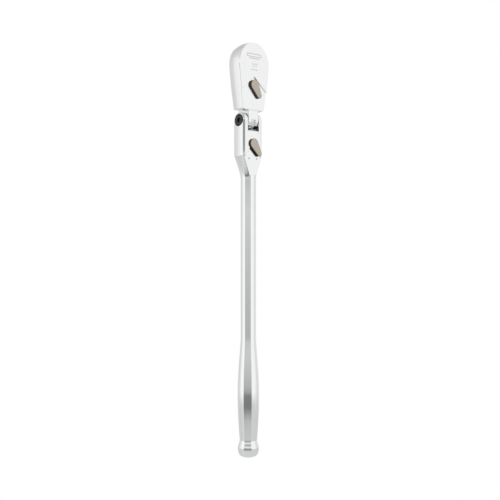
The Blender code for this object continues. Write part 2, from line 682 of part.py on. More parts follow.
def add_flex():
    at = (0, 0, PIVOT_Z)
    wide = YOKE_WIDTH / 2
    slot = SLOT_WIDTH / 2
    seat = -wide + PIVOT_HEAD_DEPTH
    end = wide - 0.0008
    profile = [(0, end), (PIVOT_THREAD - 0.0005, end), (PIVOT_THREAD, end - 0.0005)]
    profile += [(PIVOT_THREAD, slot + SEAT_GAP), (PIVOT_RADIUS, slot + SEAT_GAP), (PIVOT_RADIUS, seat)]
    profile += [(PIVOT_HEAD, seat), (PIVOT_HEAD, -wide + 0.0005), (PIVOT_HEAD - 0.0003, -wide + HEAD_SUNK)]
    profile += [(0, -wide + HEAD_SUNK)]
    screw = turned("pivot_screw", profile, MATERIALS["black"], at, ALONG_X)
    cut(screw, cylinder("screw_socket", SOCKET_RADIUS, -wide - OVERRUN, -wide + SOCKET_DEPTH, at=at,
                        turn=ALONG_X, sides=6))
    for name, side in (("left", -1), ("right", 1)):
        inner = side * (TANG_WIDTH / 2 + SEAT_GAP)
        outer = side * (TANG_WIDTH / 2 + SEAT_GAP + WASHER_THICKNESS)
        ring("tang_washer_" + name, PIVOT_RADIUS + RUNNING_FIT, WASHER_RADIUS, min(inner, outer),
             max(inner, outer), MATERIALS["washer"], at, ALONG_X)


def add_lock():
    shaft_end = -BOLT_RADIUS - SIDE_GAP
    face = -YOKE_THICKNESS / 2 + YOKE_RECESS
    lever = add_lever("lock_lever", LOCK_Z, LOCK_REST, LOCK_TOP, LOCK_UNDER, face + SEAT_GAP, LOCK_SHAFT,
                      shaft_end)
    at = (0, 0, LOCK_Z)
    low = polar(ECCENTRIC, pi + LOCK_SWING / 2)
    pin = cylinder("eccentric", ECCENTRIC_RADIUS, shaft_end - 0.0005, 0.0008, at=(low[0], 0, LOCK_Z + low[1]),
                   turn=ALONG_Y, sides=SMALL)
    groove = ring("pin_groove", LOCK_SHAFT - LOCK_PIN_RADIUS - SEAT_GAP, LOCK_SHAFT + OVERRUN,
                  LOCK_PIN_FRONT - LOCK_PIN_RADIUS - SEAT_GAP, LOCK_PIN_FRONT + LOCK_PIN_RADIUS + SEAT_GAP,
                  None, at)
    join(lever, pin)
    cut(lever, groove)
    ring("lock_seal", LOCK_SHAFT + RUNNING_FIT, LOCK_SHAFT + SEAL_WIDTH, face + 2 * SEAT_GAP + RUNNING_FIT,
         face + SEAL_DEPTH, MATERIALS["rubber"], at)
    cylinder("lock_pin", LOCK_PIN_RADIUS, -LOCK_SHAFT, YOKE_WIDTH / 2 - HEAD_SUNK, MATERIALS["steel"],
             (0, LOCK_PIN_FRONT, LOCK_Z + LOCK_SHAFT), ALONG_X, SMALL)
    bolt = cylinder("lock_bolt", BOLT_RADIUS, BOLT_FOOT, BOLT_SHOULDER, MATERIALS["steel"], sides=ROUND)
    tooth = slab("bolt_tooth", [(-TOOTH_FOOT / 2, BOLT_SHOULDER - OVERRUN),
                                (TOOTH_FOOT / 2, BOLT_SHOULDER - OVERRUN),
                                (TOOTH_FOOT / 2, BOLT_SHOULDER + 0.0002), (TOOTH_TIP / 2, BOLT_TIP),
                                (-TOOTH_TIP / 2, BOLT_TIP), (-TOOTH_FOOT / 2, BOLT_SHOULDER + 0.0002)],
                 -BOLT_RADIUS * 0.85, BOLT_RADIUS * 0.85, across="X")
    window = LOCK_Z + low[1]
    half = ECCENTRIC_RADIUS + SEAT_GAP
    join(bolt, tooth)
    cut(bolt, block("bolt_window", (-0.01, -0.01, window - half), (0.01, 0.0011, window + half)))
    coil("lock_spring", BOLT_BORE_FOOT + SEAT_GAP, LOCK_SPRING_LENGTH - 2 * SEAT_GAP, MATERIALS["spring"],
         (0, 0, 0), turns=4, radius=BOLT_RADIUS - 0.0004)


def whole_ring(quarter):
    """Mirror a quarter section, given from the side's middle to the front's middle, into a full ring."""
    half = quarter + [(-x, y) for x, y in reversed(quarter[1:-1])]
    return half + [(-x, -y) for x, y in half]


def ear_section(height):
    """The ears' section at a height over the pivot, where both are round about it with a rounded rim."""
    wide = YOKE_WIDTH / 2
    flat = EAR_RADIUS - YOKE_CORNER
    deep = sqrt(EAR_RADIUS ** 2 - height ** 2)
    start = asin(max(0.0, (height - flat) / YOKE_CORNER))
    quarter = []
    for i in range(CORNER_STEPS + 1):
        turn = start + (pi / 2 - start) * i / CORNER_STEPS
        reach = flat + YOKE_CORNER * sin(turn)
        quarter.append((wide - YOKE_CORNER + YOKE_CORNER * cos(turn), sqrt(max(0.0, reach ** 2 - height ** 2))))
    side = quarter[0]
    lead = [(side[0], side[1] * i / FLAT_STEPS) for i in range(FLAT_STEPS)]
    tail = [((wide - YOKE_CORNER) * (1 - i / FLAT_STEPS), deep) for i in range(1, FLAT_STEPS + 1)]
    return whole_ring(lead + quarter + tail)


def round_section(radius):
    count = 4 * (CORNER_STEPS + 2 * FLAT_STEPS)
    return [polar(radius, 2 * pi * i / count) for i in range(count)]


def handle_rings():
    """(z, section) from the top of the ears down to the end of the bulb."""
    rings = []
    for degrees in (88, 80, 70, 58, 44, 30, 15, 0):
        height = EAR_RADIUS * sin(radians(degrees))
        rings.append((PIVOT_Z + height, ear_section(height)))
    square = ear_section(0)
    shank = round_section(SHANK_DIAMETER / 2)
    for i in range(9):
        share = i / 8
        blend = 1 - (1 - share) ** 1.25
        section = [(p[0] * (1 - blend) + q[0] * blend, p[1] * (1 - blend) + q[1] * blend)
                   for p, q in zip(square, shank)]
        rings.append((-TAPER_START - (TAPER_END - TAPER_START) * share, section))
    for height, radius in grip_profile():
        rings.append((HANDLE_END + height, round_section(radius)))
    return rings


def grip_profile():
    """(height over the handle's end, radius) down the grip, its neck and the end bulb."""
    shank = SHANK_DIAMETER / 2
    widest = GRIP_DIAMETER / 2
    neck = NECK_DIAMETER / 2
    bulb = BULB_DIAMETER / 2
    points = []
    for i in range(9):
        share = i / 8
        swell = sin(share * pi / 2) ** 1.25
        points.append((GRIP_START + (GRIP_WIDEST - GRIP_START) * share, shank + (widest - shank) * swell))
    for i in range(1, 7):
        share = i / 6
        drop = 1 - cos(share * pi / 2)
        points.append((GRIP_WIDEST + (NECK_HEIGHT - GRIP_WIDEST) * share, widest + (neck - widest) * drop))
    rise = NECK_HEIGHT - BULB_HEIGHT
    for share, swell in ((0.3, 0.1), (0.5, 0.4), (0.7, 0.78), (0.85, 0.95), (1, 1)):
        points.append((NECK_HEIGHT - rise * share, neck + (bulb - neck) * swell))
    for share, shrink in ((0.2, 0.985), (0.5, 0.935), (0.72, 0.88), (0.88, 0.77), (1, 0.62)):
        points.append((BULB_HEIGHT * (1 - share), bulb * shrink))
    return points


def add_handle():
    bm = bmesh.new()
    rows = [[bm.verts.new((x, y, z)) for x, y in section] for z, section in handle_rings()]
    for upper, lower in zip(rows, rows[1:]):
        for i, vert in enumerate(upper):
            following = (i + 1) % len(upper)
            bm.faces.new((vert, upper[following], lower[following], lower[i]))
    bm.faces.new(rows[0])
    bm.faces.new(reversed(rows[-1]))
    bmesh.ops.remove_doubles(bm, verts=bm.verts, dist=1e-7)
    handle = smooth(place(mesh_object("handle", bm), MATERIALS["chrome"]))
    wide = YOKE_WIDTH / 2
    slot = SLOT_WIDTH / 2
    front = -YOKE_THICKNESS
    face = -YOKE_THICKNESS / 2 + YOKE_RECESS
    pivot = (0, 0, PIVOT_Z)
    lock = (0, 0, LOCK_Z)
    cut(handle,
        slab("yoke_recess", chevron(YOKE_CHEVRON_TOP, YOKE_CHEVRON_SLOPE, YOKE_WIDTH * 0.6, -YOKE_RECESS_END),
             front, face),
        block("tang_slot", (-slot, front, SLOT_FLOOR), (slot, -front, 0)),
        cylinder("pivot_bore", PIVOT_RADIUS + RUNNING_FIT, -wide, slot + 2 * SEAT_GAP, at=pivot, turn=ALONG_X,
                 sides=ROUND),
        cylinder("pivot_thread", PIVOT_THREAD + RUNNING_FIT, 0, wide + OVERRUN, at=pivot, turn=ALONG_X, sides=ROUND),
        cylinder("pivot_seat", PIVOT_HEAD + SEAT_GAP, -wide - OVERRUN, -wide + PIVOT_HEAD_DEPTH + SEAT_GAP,
                 at=pivot, turn=ALONG_X, sides=ROUND),
        cylinder("bolt_bore", BOLT_RADIUS + RUNNING_FIT, BOLT_BORE_FOOT, SLOT_FLOOR + OVERRUN, sides=ROUND),
        cylinder("lock_bore", LOCK_SHAFT + RUNNING_FIT, front, 0, at=lock, turn=ALONG_Y, sides=ROUND),
        cylinder("lock_boss_seat", LEVER_BOSS + SIDE_GAP, front, face + 2 * SEAT_GAP, at=lock, turn=ALONG_Y,
                 sides=ROUND),
        cylinder("lock_seal_seat", LOCK_SHAFT + SEAL_WIDTH + SEAT_GAP, front, face + SEAL_DEPTH + SEAT_GAP,
                 at=lock, turn=ALONG_Y, sides=ROUND),
        cylinder("lock_pin_hole", LOCK_PIN_RADIUS + RUNNING_FIT, -LOCK_SHAFT - SEAT_GAP, wide + OVERRUN,
                 at=(0, LOCK_PIN_FRONT, LOCK_Z + LOCK_SHAFT), turn=ALONG_X, sides=PIN_HOLE_SIDES))


def finish(name, color, metallic, roughness):
    material = bpy.data.materials.new(name)
    material.use_nodes = True
    shader = material.node_tree.nodes["Principled BSDF"]
    shader.inputs["Base Color"].default_value = (*color, 1)
    shader.inputs["Metallic"].default_value = metallic
    shader.inputs["Roughness"].default_value = roughness
    return material


clear_scene()
PARTS = new_collection("ratchet_wrench")
CUTTERS = new_collection("cutters")
TOOL = bpy.data.objects.new("tool_point", None)
TOOL.location = (0, -DRIVE_END, 0)
PARTS.objects.link(TOOL)
MATERIALS = {
    "chrome": finish("polished_chrome", (0.86, 0.87, 0.88), 1, 0.08),
    "steel": finish("ground_steel", (0.62, 0.62, 0.63), 1, 0.3),
    "lever": finish("satin_lever", (0.50, 0.45, 0.39), 1, 0.42),
    "black": finish("black_oxide", (0.03, 0.03, 0.032), 0.6, 0.45),
    "screw": finish("screw_steel", (0.45, 0.45, 0.46), 1, 0.35),
    "spring": finish("spring_wire", (0.4, 0.4, 0.42), 1, 0.35),
    "washer": finish("washer_steel", (0.55, 0.55, 0.56), 1, 0.35),
    "rubber": finish("seal_rubber", (0.02, 0.02, 0.02), 0, 0.7),
}
add_handle()
add_head()
add_cover()
add_drive()
for side in (-1, 1):
    add_pawl(side, MATERIALS["steel"])
add_reverse()
add_flex()
add_lock()
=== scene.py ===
"""Looks of the locking flex-head ratchet wrench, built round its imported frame. Metres, +Z towards the head."""
from math import asin, cos, hypot, pi, radians, sin, sqrt

import bmesh
import bpy
from mathutils import Matrix, Vector


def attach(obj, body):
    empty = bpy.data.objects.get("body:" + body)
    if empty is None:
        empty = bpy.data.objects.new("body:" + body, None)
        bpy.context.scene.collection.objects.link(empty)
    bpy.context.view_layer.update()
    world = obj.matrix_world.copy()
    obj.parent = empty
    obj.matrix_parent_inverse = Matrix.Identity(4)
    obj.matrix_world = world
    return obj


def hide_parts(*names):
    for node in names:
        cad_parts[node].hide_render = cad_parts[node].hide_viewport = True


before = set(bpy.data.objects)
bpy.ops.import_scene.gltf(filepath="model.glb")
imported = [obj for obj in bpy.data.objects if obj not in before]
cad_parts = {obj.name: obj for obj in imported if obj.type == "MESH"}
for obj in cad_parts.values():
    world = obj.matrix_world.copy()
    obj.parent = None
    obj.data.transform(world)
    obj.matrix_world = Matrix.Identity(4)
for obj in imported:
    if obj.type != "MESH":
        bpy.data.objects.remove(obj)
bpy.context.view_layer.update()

# The tool's own frame sits on the middle line of the handle: tool y = world y + DRIVE_REACH.
DRIVE_REACH = 0.024

# Head
HEAD_TOP = 0.026
HEAD_WIDTH = 0.0437
SHOULDER_WIDTH = 0.0312
SHOULDER_DROP = 0.0491
FRONT_FACE = -0.0102
BACK_FACE = 0.0086
PARTING_LINE = -0.0006
FRONT_DRAFT = 0.0009
BACK_DRAFT = 0.0012
RECESS_FACE = FRONT_FACE + 0.0012
CHEVRON_TOP = -0.012
CHEVRON_SLOPE = 0.88
CAVITY_FRONT = -0.0064
COVER_FACE = BACK_FACE - 0.0002
COVER_THICKNESS = 0.002
COVER_INSET = 0.002
COVER_FOOT = -0.0375
SCREW_HEAD = 0.0022

# Drive
DRIVE_SQUARE = 0.0127
DRIVE_END = 0.024
JOURNAL_RADIUS = DRIVE_SQUARE * sqrt(0.5) + 0.0006
BALL_RADIUS = 0.0021
BALL_Y = DRIVE_END - 0.0055

# Levers
REVERSE_Z = -0.021
LOCK_Z = -0.085
LEVER_HUB = 0.0056
LEVER_TIP = 0.0032
LEVER_REACH = 0.0128
LEVER_BOSS = 0.0047
REVERSE_REST = radians(30)
LOCK_REST = radians(35)

# Flex joint
PIVOT_Z = -0.0595
EAR_RADIUS = 0.0086
TANG_WIDTH = 0.0138
TANG_ROOT = 0.0135
SLOT_WIDTH = 0.0152
SLOT_FLOOR = PIVOT_Z - 0.0115
PIVOT_RADIUS = 0.0042
PIVOT_HEAD = 0.0066
BOLT_RADIUS = 0.0034

# Handle
YOKE_WIDTH = 0.0289
YOKE_THICKNESS = 0.0172
YOKE_BOW = radians(16)
YOKE_CORNER = 0.0036
YOKE_BACK_BOW = radians(8)
YOKE_BACK_CORNER = 0.0015
YOKE_FACE = -0.0075
YOKE_RECESS_END = -0.119
YOKE_CHEVRON_TOP = -0.082
YOKE_CHEVRON_SLOPE = 1.6
TAPER_START = -0.098
TAPER_END = -0.122
SHANK_DIAMETER = 0.0171
HANDLE_END = -0.430
GRIP_START = 0.131
GRIP_WIDEST = 0.0695
GRIP_DIAMETER = 0.0238
NECK_HEIGHT = 0.0197
NECK_DIAMETER = 0.0192
BULB_HEIGHT = 0.0112
BULB_DIAMETER = 0.0232
# (height over the end, share of the bulb's radius)
BULB_END = ((0.0096, 0.998), (0.008, 0.985), (0.006, 0.955), (0.0045, 0.91), (0.003, 0.83), (0.002, 0.72),
            (0.001, 0.5), (0.0003, 0.28), (0, 0.18))

ALONG_X = Matrix.Rotation(radians(90), 4, "Y")
ALONG_Y = Matrix.Rotation(radians(-90), 4, "X")
ALONG_Z = Matrix.Identity(4)
FINE = 96
PAWL_PIN_X = 0.015386
PAWL_PIN_Z = -0.004392
NOTCH_STEP = radians(15)
NOTCHES_EACH_WAY = 6
NOTCH_MOUTH = 0.0008
NOTCH_FLOOR = 0.00045
NOTCH_DEPTH = 0.00125
NOTCH_HALF_WIDTH = 0.0032
SEAT_GAP = 0.00015
RUNNING_FIT = 0.00005
SEAL_WIDTH = 0.001
# how far a cutter runs past a face
OVERRUN = 0.001


# ---------------------------------------------------------------- mesh tools
def tool_point(x, y, z):
    return Vector((x, y - DRIVE_REACH, z))


def solid(name, bm):
    """Turn a bmesh given in the tool's frame into an object in the row frame."""
    bmesh.ops.remove_doubles(bm, verts=bm.verts, dist=1e-7)
    bmesh.ops.translate(bm, verts=bm.verts, vec=tool_point(0, 0, 0))
    bmesh.ops.recalc_face_normals(bm, faces=bm.faces)
    if bm.calc_volume(signed=True) < 0:
        bmesh.ops.reverse_faces(bm, faces=bm.faces)
    mesh = bpy.data.meshes.new(name)
    bm.to_mesh(mesh)
    bm.free()
    obj = bpy.data.objects.new(name, mesh)
    bpy.context.scene.collection.objects.link(obj)
    return obj


def loft(bm, rings, closed=True):
    """Join rings of equal length with quads and close both ends."""
    rows = [[bm.verts.new(point) for point in ring] for ring in rings]
    count = len(rings[0])
    for upper, lower in zip(rows, rows[1:]):
        for i in range(count):
            j = (i + 1) % count
            bm.faces.new((upper[i], upper[j], lower[j], lower[i]))
    if closed:
        bm.faces.new(rows[0])
        bm.faces.new(reversed(rows[-1]))
    return rows


def inset_outline(outline, amount):
    """Move each point of a closed (x, z) outline inwards along its own normal."""
    count = len(outline)
    area = sum(outline[i][0] * outline[(i + 1) % count][1] - outline[(i + 1) % count][0] * outline[i][1]
               for i in range(count))
    side = 1 if area > 0 else -1
    moved = []
    for i, (x, z) in enumerate(outline):
        before = outline[i - 1]
        after = outline[(i + 1) % count]
        dx = after[0] - before[0]
        dz = after[1] - before[1]
        length = hypot(dx, dz) or 1
        moved.append((x - side * dz / length * amount, z + side * dx / length * amount))
    return moved


def plate(name, outline, profile, at=(0, 0)):
    """A plate across Y: profile is a list of (y, inset) from the front face to the back face."""
    bm = bmesh.new()
    rings = []
    for y, inset in profile:
        rings.append([(x + at[0], y, z + at[1]) for x, z in inset_outline(outline, inset)])
    loft(bm, rings)
    return solid(name, bm)


def rounded(front, back, radius, steps=4):
    """Profile of a plate with both rims rounded."""
    low = []
    for i in range(steps + 1):
        turn = pi / 2 * i / steps
        low.append((front + radius * (1 - sin(turn)), radius * (1 - cos(turn))))
    low.reverse()
    high = [(back - (y - front), inset) for y, inset in reversed(low)]
    return low + high


def turned(name, profile, axis, at=(0, 0, 0), steps=FINE):
    """Turn (radius, height) points round an axis. Points with no radius close the ends."""
    bm = bmesh.new()
    rings = []
    for radius, height in profile:
        reach = max(radius, 1e-6)
        rings.append([(reach * cos(2 * pi * i / steps), reach * sin(2 * pi * i / steps), height)
                      for i in range(steps)])
    loft(bm, rings)
    bmesh.ops.remove_doubles(bm, verts=bm.verts, dist=3e-6)
    bmesh.ops.transform(bm, matrix=Matrix.Translation(at) @ axis, verts=bm.verts)
    return solid(name, bm)


def hoop(name, profile, axis, at=(0, 0, 0), steps=FINE):
    """A ring turned from a closed (radius, height) section."""
    bm = bmesh.new()
    rows = [[bm.verts.new((radius * cos(2 * pi * i / steps), radius * sin(2 * pi * i / steps), height))
             for radius, height in profile] for i in range(steps)]
    count = len(profile)
    for i in range(steps):
        for j in range(count):
            k = (j + 1) % count
            m = (i + 1) % steps
            bm.faces.new((rows[i][j], rows[i][k], rows[m][k], rows[m][j]))
    bmesh.ops.transform(bm, matrix=Matrix.Translation(at) @ axis, verts=bm.verts)
    return solid(name, bm)


def soft_ring(inner, outer, low, high, edge):
    """Closed section of a ring whose four corners are cut by edge."""
    return [(outer, low + edge), (outer, high - edge), (outer - edge, high), (inner + edge, high),
            (inner, high - edge), (inner, low + edge), (inner + edge, low), (outer - edge, low)]


def rod(name, radius, low, high, axis, at=(0, 0, 0), steps=48):
    return turned(name, [(0, low), (radius, low), (radius, high), (0, high)], axis, at, steps)


def prism(name, outline, low, high, across="Y"):
    """A straight-sided cutter from an (x, z) outline, or from a (y, z) outline across X."""
    bm = bmesh.new()
    rings = []
    for level in (low, high):
        rings.append([(u, level, v) if across == "Y" else (level, u, v) for u, v in outline])
    loft(bm, rings)
    return solid(name, bm)


def combine(obj, tools, operation):
    """Apply Booleans one after another and throw the tools away."""
    for tool in tools:
        change = obj.modifiers.new(tool.name, "BOOLEAN")
        change.operation = operation
        change.solver = "EXACT"
        change.object = tool
        graph = bpy.context.evaluated_depsgraph_get()
        mesh = bpy.data.meshes.new_from_object(obj.evaluated_get(graph))
        obj.modifiers.remove(change)
        old = obj.data
        obj.data = mesh
        bpy.data.meshes.remove(old)
        bpy.data.objects.remove(tool)


def cut(obj, *tools):
    combine(obj, tools, "DIFFERENCE")


def join(obj, *tools):
    combine(obj, tools, "UNION")


def dress(obj, material, body, stands_for=(), edge=0.00022, angle=32, segments=2):
    """Soften the edges, set the normals, give the finish and tie the piece to its body."""
    name = obj.name
    obj.data.name = name
    obj.data.materials.clear()
    obj.data.materials.append(material)
    obj.data.shade_smooth()
    obj.data.set_sharp_from_angle(angle=radians(angle))
    if edge:
        bevel = obj.modifiers.new("soft_edges", "BEVEL")
        bevel.limit_method = "ANGLE"
        bevel.angle_limit = radians(angle)
        bevel.width = edge
        bevel.segments = segments
        bevel.use_clamp_overlap = False
        bevel.miter_outer = "MITER_ARC"
        weight = obj.modifiers.new("face_normals", "WEIGHTED_NORMAL")
        weight.keep_sharp = True
        weight.weight = 100
    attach(obj, body)
    if stands_for:
        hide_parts(*stands_for)
    return obj


# ---------------------------------------------------------------- outlines
def rotate(point, angle):
    x, z = point
    return (x * cos(angle) - z * sin(angle), x * sin(angle) + z * cos(angle))


def polar(radius, angle, centre=(0, 0)):
    return (centre[0] + radius * cos(angle), centre[1] + radius * sin(angle))


def arc(radius, start, end, steps, centre=(0, 0)):
    return [polar(radius, start + (end - start) * i / steps, centre) for i in range(steps + 1)]


def bezier(start, first, second, end, steps):
    points = []
    for i in range(steps):
        t = i / steps
        weights = ((1 - t) ** 3, 3 * t * (1 - t) ** 2, 3 * t * t * (1 - t), t ** 3)
        corners = (start, first, second, end)
        points.append(tuple(sum(w * c[k] for w, c in zip(weights, corners)) for k in (0, 1)))
    return points


def mirrored(half):
    return half + [(-x, z) for x, z in reversed(half) if x > 1e-9]


def head_half(inset=0.0):
    wide = HEAD_WIDTH / 2 - inset
    top = HEAD_TOP - inset
    foot = SHOULDER_WIDTH / 2 - inset
    level = 0.002
    bend = 0.5523
    crown = bezier((0, top), (bend * wide, top), (wide, level + bend * (top - level)), (wide, level), 40)
    slope = (wide - foot) * 0.45
    side = bezier((wide, level), (wide, -0.007), (foot + slope, -0.03), (foot, -(SHOULDER_DROP - 0.0025)), 28)
    return crown + side


def head_outline():
    corner = 0.0025
    foot = SHOULDER_WIDTH / 2
    centre = (foot - corner, -SHOULDER_DROP + corner)
    return mirrored(head_half() + arc(corner, 0, -pi / 2, 8, centre))


def cover_outline(gap=0.0):
    half = [point for point in head_half(COVER_INSET - gap) if point[1] > COVER_FOOT + 0.006]
    last = half.pop()
    low = COVER_FOOT - gap
    half += bezier(last, (last[0] * 0.97, low + 0.002), (last[0] * 0.8, low), (last[0] * 0.45, low), 14)
    half.append((last[0] * 0.45, low))
    return mirrored(half)


def chevron(top, slope, reach, foot):
    side = top - slope * reach
    return [(0, top), (reach, side), (reach, foot), (-reach, foot), (-reach, side)]


def tang_outline():
    """Side view of the tang, with its round end."""
    root = PIVOT_Z + TANG_ROOT
    return [(EAR_RADIUS, root)] + arc(EAR_RADIUS, 0, -pi, 64, (0, PIVOT_Z)) + [(-EAR_RADIUS, root)]


def notch_comb():
    """What is cut from the tang's round end: a notch at every lock position, joined just clear of it."""
    clear = EAR_RADIUS + SEAT_GAP
    floor = EAR_RADIUS - NOTCH_DEPTH
    points = []
    for notch in range(NOTCHES_EACH_WAY, -NOTCHES_EACH_WAY - 1, -1):
        angle = -pi / 2 + notch * NOTCH_STEP
        out = (cos(angle), sin(angle))
        along = (-sin(angle), cos(angle))
        corners = ((clear, NOTCH_MOUTH), (floor, NOTCH_FLOOR), (floor, -NOTCH_FLOOR), (clear, -NOTCH_MOUTH))
        for radius, aside in corners:
            points.append((radius * out[0] + aside * along[0], PIVOT_Z + radius * out[1] + aside * along[1]))
    return points + arc(EAR_RADIUS * 1.2, radians(-187.5), radians(7.5), 64, (0, PIVOT_Z))


def lever_outline(rest):
    lean = asin((LEVER_HUB - LEVER_TIP) / LEVER_REACH)
    hub = arc(LEVER_HUB, -lean, pi + lean, 40)
    tip = arc(LEVER_TIP, pi + lean, 2 * pi - lean, 22, (0, -LEVER_REACH))
    return [rotate(point, rest) for point in hub + tip]


# ---------------------------------------------------------------- handle
def yoke_half(side_bow, edge):
    """Front half of the yoke's section, from the left side's middle round the front to the right's."""
    wide = YOKE_WIDTH / 2
    deep = YOKE_THICKNESS / 2
    bow = (deep - edge) / sin(side_bow) + edge
    quarter = []
    for i in range(9):
        turn = side_bow * i / 8
        quarter.append((wide - bow + bow * cos(turn), bow * sin(turn)))
    corner = (quarter[-1][0] - edge * cos(side_bow), quarter[-1][1] - edge * sin(side_bow))
    for i in range(1, 13):
        turn = side_bow + (pi / 2 - side_bow) * i / 12
        quarter.append((corner[0] + edge * cos(turn), corner[1] + edge * sin(turn)))
    for i in range(1, 9):
        quarter.append((corner[0] * (1 - i / 8), deep))
    right = [(x, -y) for x, y in quarter]
    return [(-x, y) for x, y in right] + list(reversed(right[:-1]))


def full_section(front, back=None):
    """Close a front half with a back half, given as the front it would mirror."""
    return front + [(x, -y) for x, y in reversed((back or front)[1:-1])]


def round_front(radius, like):
    """Front half of a circle whose points are spread like those of another section, for a clean taper."""
    count = len(like) - 1
    return [(-radius * cos(pi * i / count), -radius * sin(pi * i / count)) for i in range(count + 1)]


def grip_profile():
    """(height over the handle's end, radius) down the grip, its neck and the end bulb."""
    shank = SHANK_DIAMETER / 2
    widest = GRIP_DIAMETER / 2
    neck = NECK_DIAMETER / 2
    bulb = BULB_DIAMETER / 2
    points = []
    for i in range(33):
        share = i / 32
        swell = sin(share * pi / 2) ** 1.25
        points.append((GRIP_START + (GRIP_WIDEST - GRIP_START) * share, shank + (widest - shank) * swell))
    for i in range(1, 25):
        share = i / 24
        drop = 1 - cos(share * pi / 2)
        points.append((GRIP_WIDEST + (NECK_HEIGHT - GRIP_WIDEST) * share, widest + (neck - widest) * drop))
    rise = NECK_HEIGHT - BULB_HEIGHT
    for i in range(1, 13):
        share = i / 12
        swell = share ** 2 * (3 - 2 * share)
        points.append((NECK_HEIGHT - rise * share, neck + (bulb - neck) * swell))
    return points + [(height, bulb * share) for height, share in BULB_END]


def handle_blank():
    """Ears, yoke, taper, shank and grip as one closed forging, before machining."""
    front = yoke_half(YOKE_BOW, YOKE_CORNER)
    back = yoke_half(YOKE_BACK_BOW, YOKE_BACK_CORNER)
    square = full_section(front, back)
    circle = full_section(round_front(SHANK_DIAMETER / 2, front))
    rings = [(PIVOT_Z, square)]
    for i in range(1, 9):
        rings.append((PIVOT_Z + (TAPER_START - PIVOT_Z) * i / 8, square))
    for i in range(1, 33):
        share = i / 32
        blend = 1 - (1 - share) ** 1.25
        section = [(p[0] + (q[0] - p[0]) * blend, p[1] + (q[1] - p[1]) * blend) for p, q in zip(square, circle)]
        rings.append((TAPER_START + (TAPER_END - TAPER_START) * share, section))
    high = HANDLE_END + GRIP_START
    for i in range(1, 40):
        rings.append((TAPER_END + (high - TAPER_END) * i / 40, circle))
    for height, radius in grip_profile():
        rings.append((HANDLE_END + height, full_section(round_front(radius, front))))
    bm = bmesh.new()
    rows = [[bm.verts.new((x, y, z)) for x, y in section] for z, section in rings]
    count = len(square)
    for upper, lower in zip(rows, rows[1:]):
        for i in range(count):
            j = (i + 1) % count
            bm.faces.new((upper[i], upper[j], lower[j], lower[i]))
    bm.faces.new(reversed(rows[-1]))
    swings = 24
    arcs = []
    for k in range(swings + 1):
        turn = pi * k / swings
        shape = [(p[0] + (q[0] - p[0]) * k / swings, p[1] + (q[1] - p[1]) * k / swings)
                 for p, q in zip(front, back)]
        arcs.append([bm.verts.new((x, y * cos(turn), PIVOT_Z - y * sin(turn))) for x, y in shape])
    for near, far in zip(arcs, arcs[1:]):
        for i in range(len(front) - 1):
            bm.faces.new((near[i], far[i], far[i + 1], near[i + 1]))
    return solid("handle_forging", bm)


def make_handle():
    handle = handle_blank()
    wide = YOKE_WIDTH / 2
    slot = SLOT_WIDTH / 2
    front = -YOKE_THICKNESS
    pivot = (0, 0, PIVOT_Z)
    lock = (0, 0, LOCK_Z)
    floor_corner = 0.0009
    slot_shape = [(-slot, 0.01), (-slot, SLOT_FLOOR + floor_corner)]
    slot_shape += arc(floor_corner, pi, 1.5 * pi, 5, (-slot + floor_corner, SLOT_FLOOR + floor_corner))
    slot_shape += arc(floor_corner, 1.5 * pi, 2 * pi, 5, (slot - floor_corner, SLOT_FLOOR + floor_corner))
    slot_shape += [(slot, SLOT_FLOOR + floor_corner), (slot, 0.01)]
    cut(handle,
        prism("yoke_recess", chevron(YOKE_CHEVRON_TOP, YOKE_CHEVRON_SLOPE, YOKE_WIDTH * 0.6, YOKE_RECESS_END),
              front, YOKE_FACE),
        prism("tang_slot", slot_shape, front, -front),
        rod("pivot_bore", PIVOT_RADIUS + RUNNING_FIT, -wide, slot + 0.0003, ALONG_X, pivot),
        rod("pivot_thread", 0.00365, 0, wide + OVERRUN, ALONG_X, pivot),
        rod("pivot_seat", PIVOT_HEAD + SEAT_GAP, -wide - OVERRUN, -wide + 0.00295, ALONG_X, pivot, FINE),
        rod("bolt_bore", BOLT_RADIUS + RUNNING_FIT, -0.0984, SLOT_FLOOR + OVERRUN, ALONG_Z),
        rod("lock_bore", 0.00305, front, 0, ALONG_Y, lock),
        rod("lock_boss_seat", LEVER_BOSS + 0.0003, front, YOKE_FACE + 0.0003, ALONG_Y, lock, FINE),
        rod("lock_seal_seat", 0.00415, front, YOKE_FACE + 0.00115, ALONG_Y, lock),
        rod("lock_pin_hole", 0.0008, -0.00315, wide + OVERRUN, ALONG_X, (0, -0.0052, LOCK_Z + 0.003), 24))
    handle.name = "fine_handle"
    return dress(handle, handle_chrome, "handle", ["handle"])


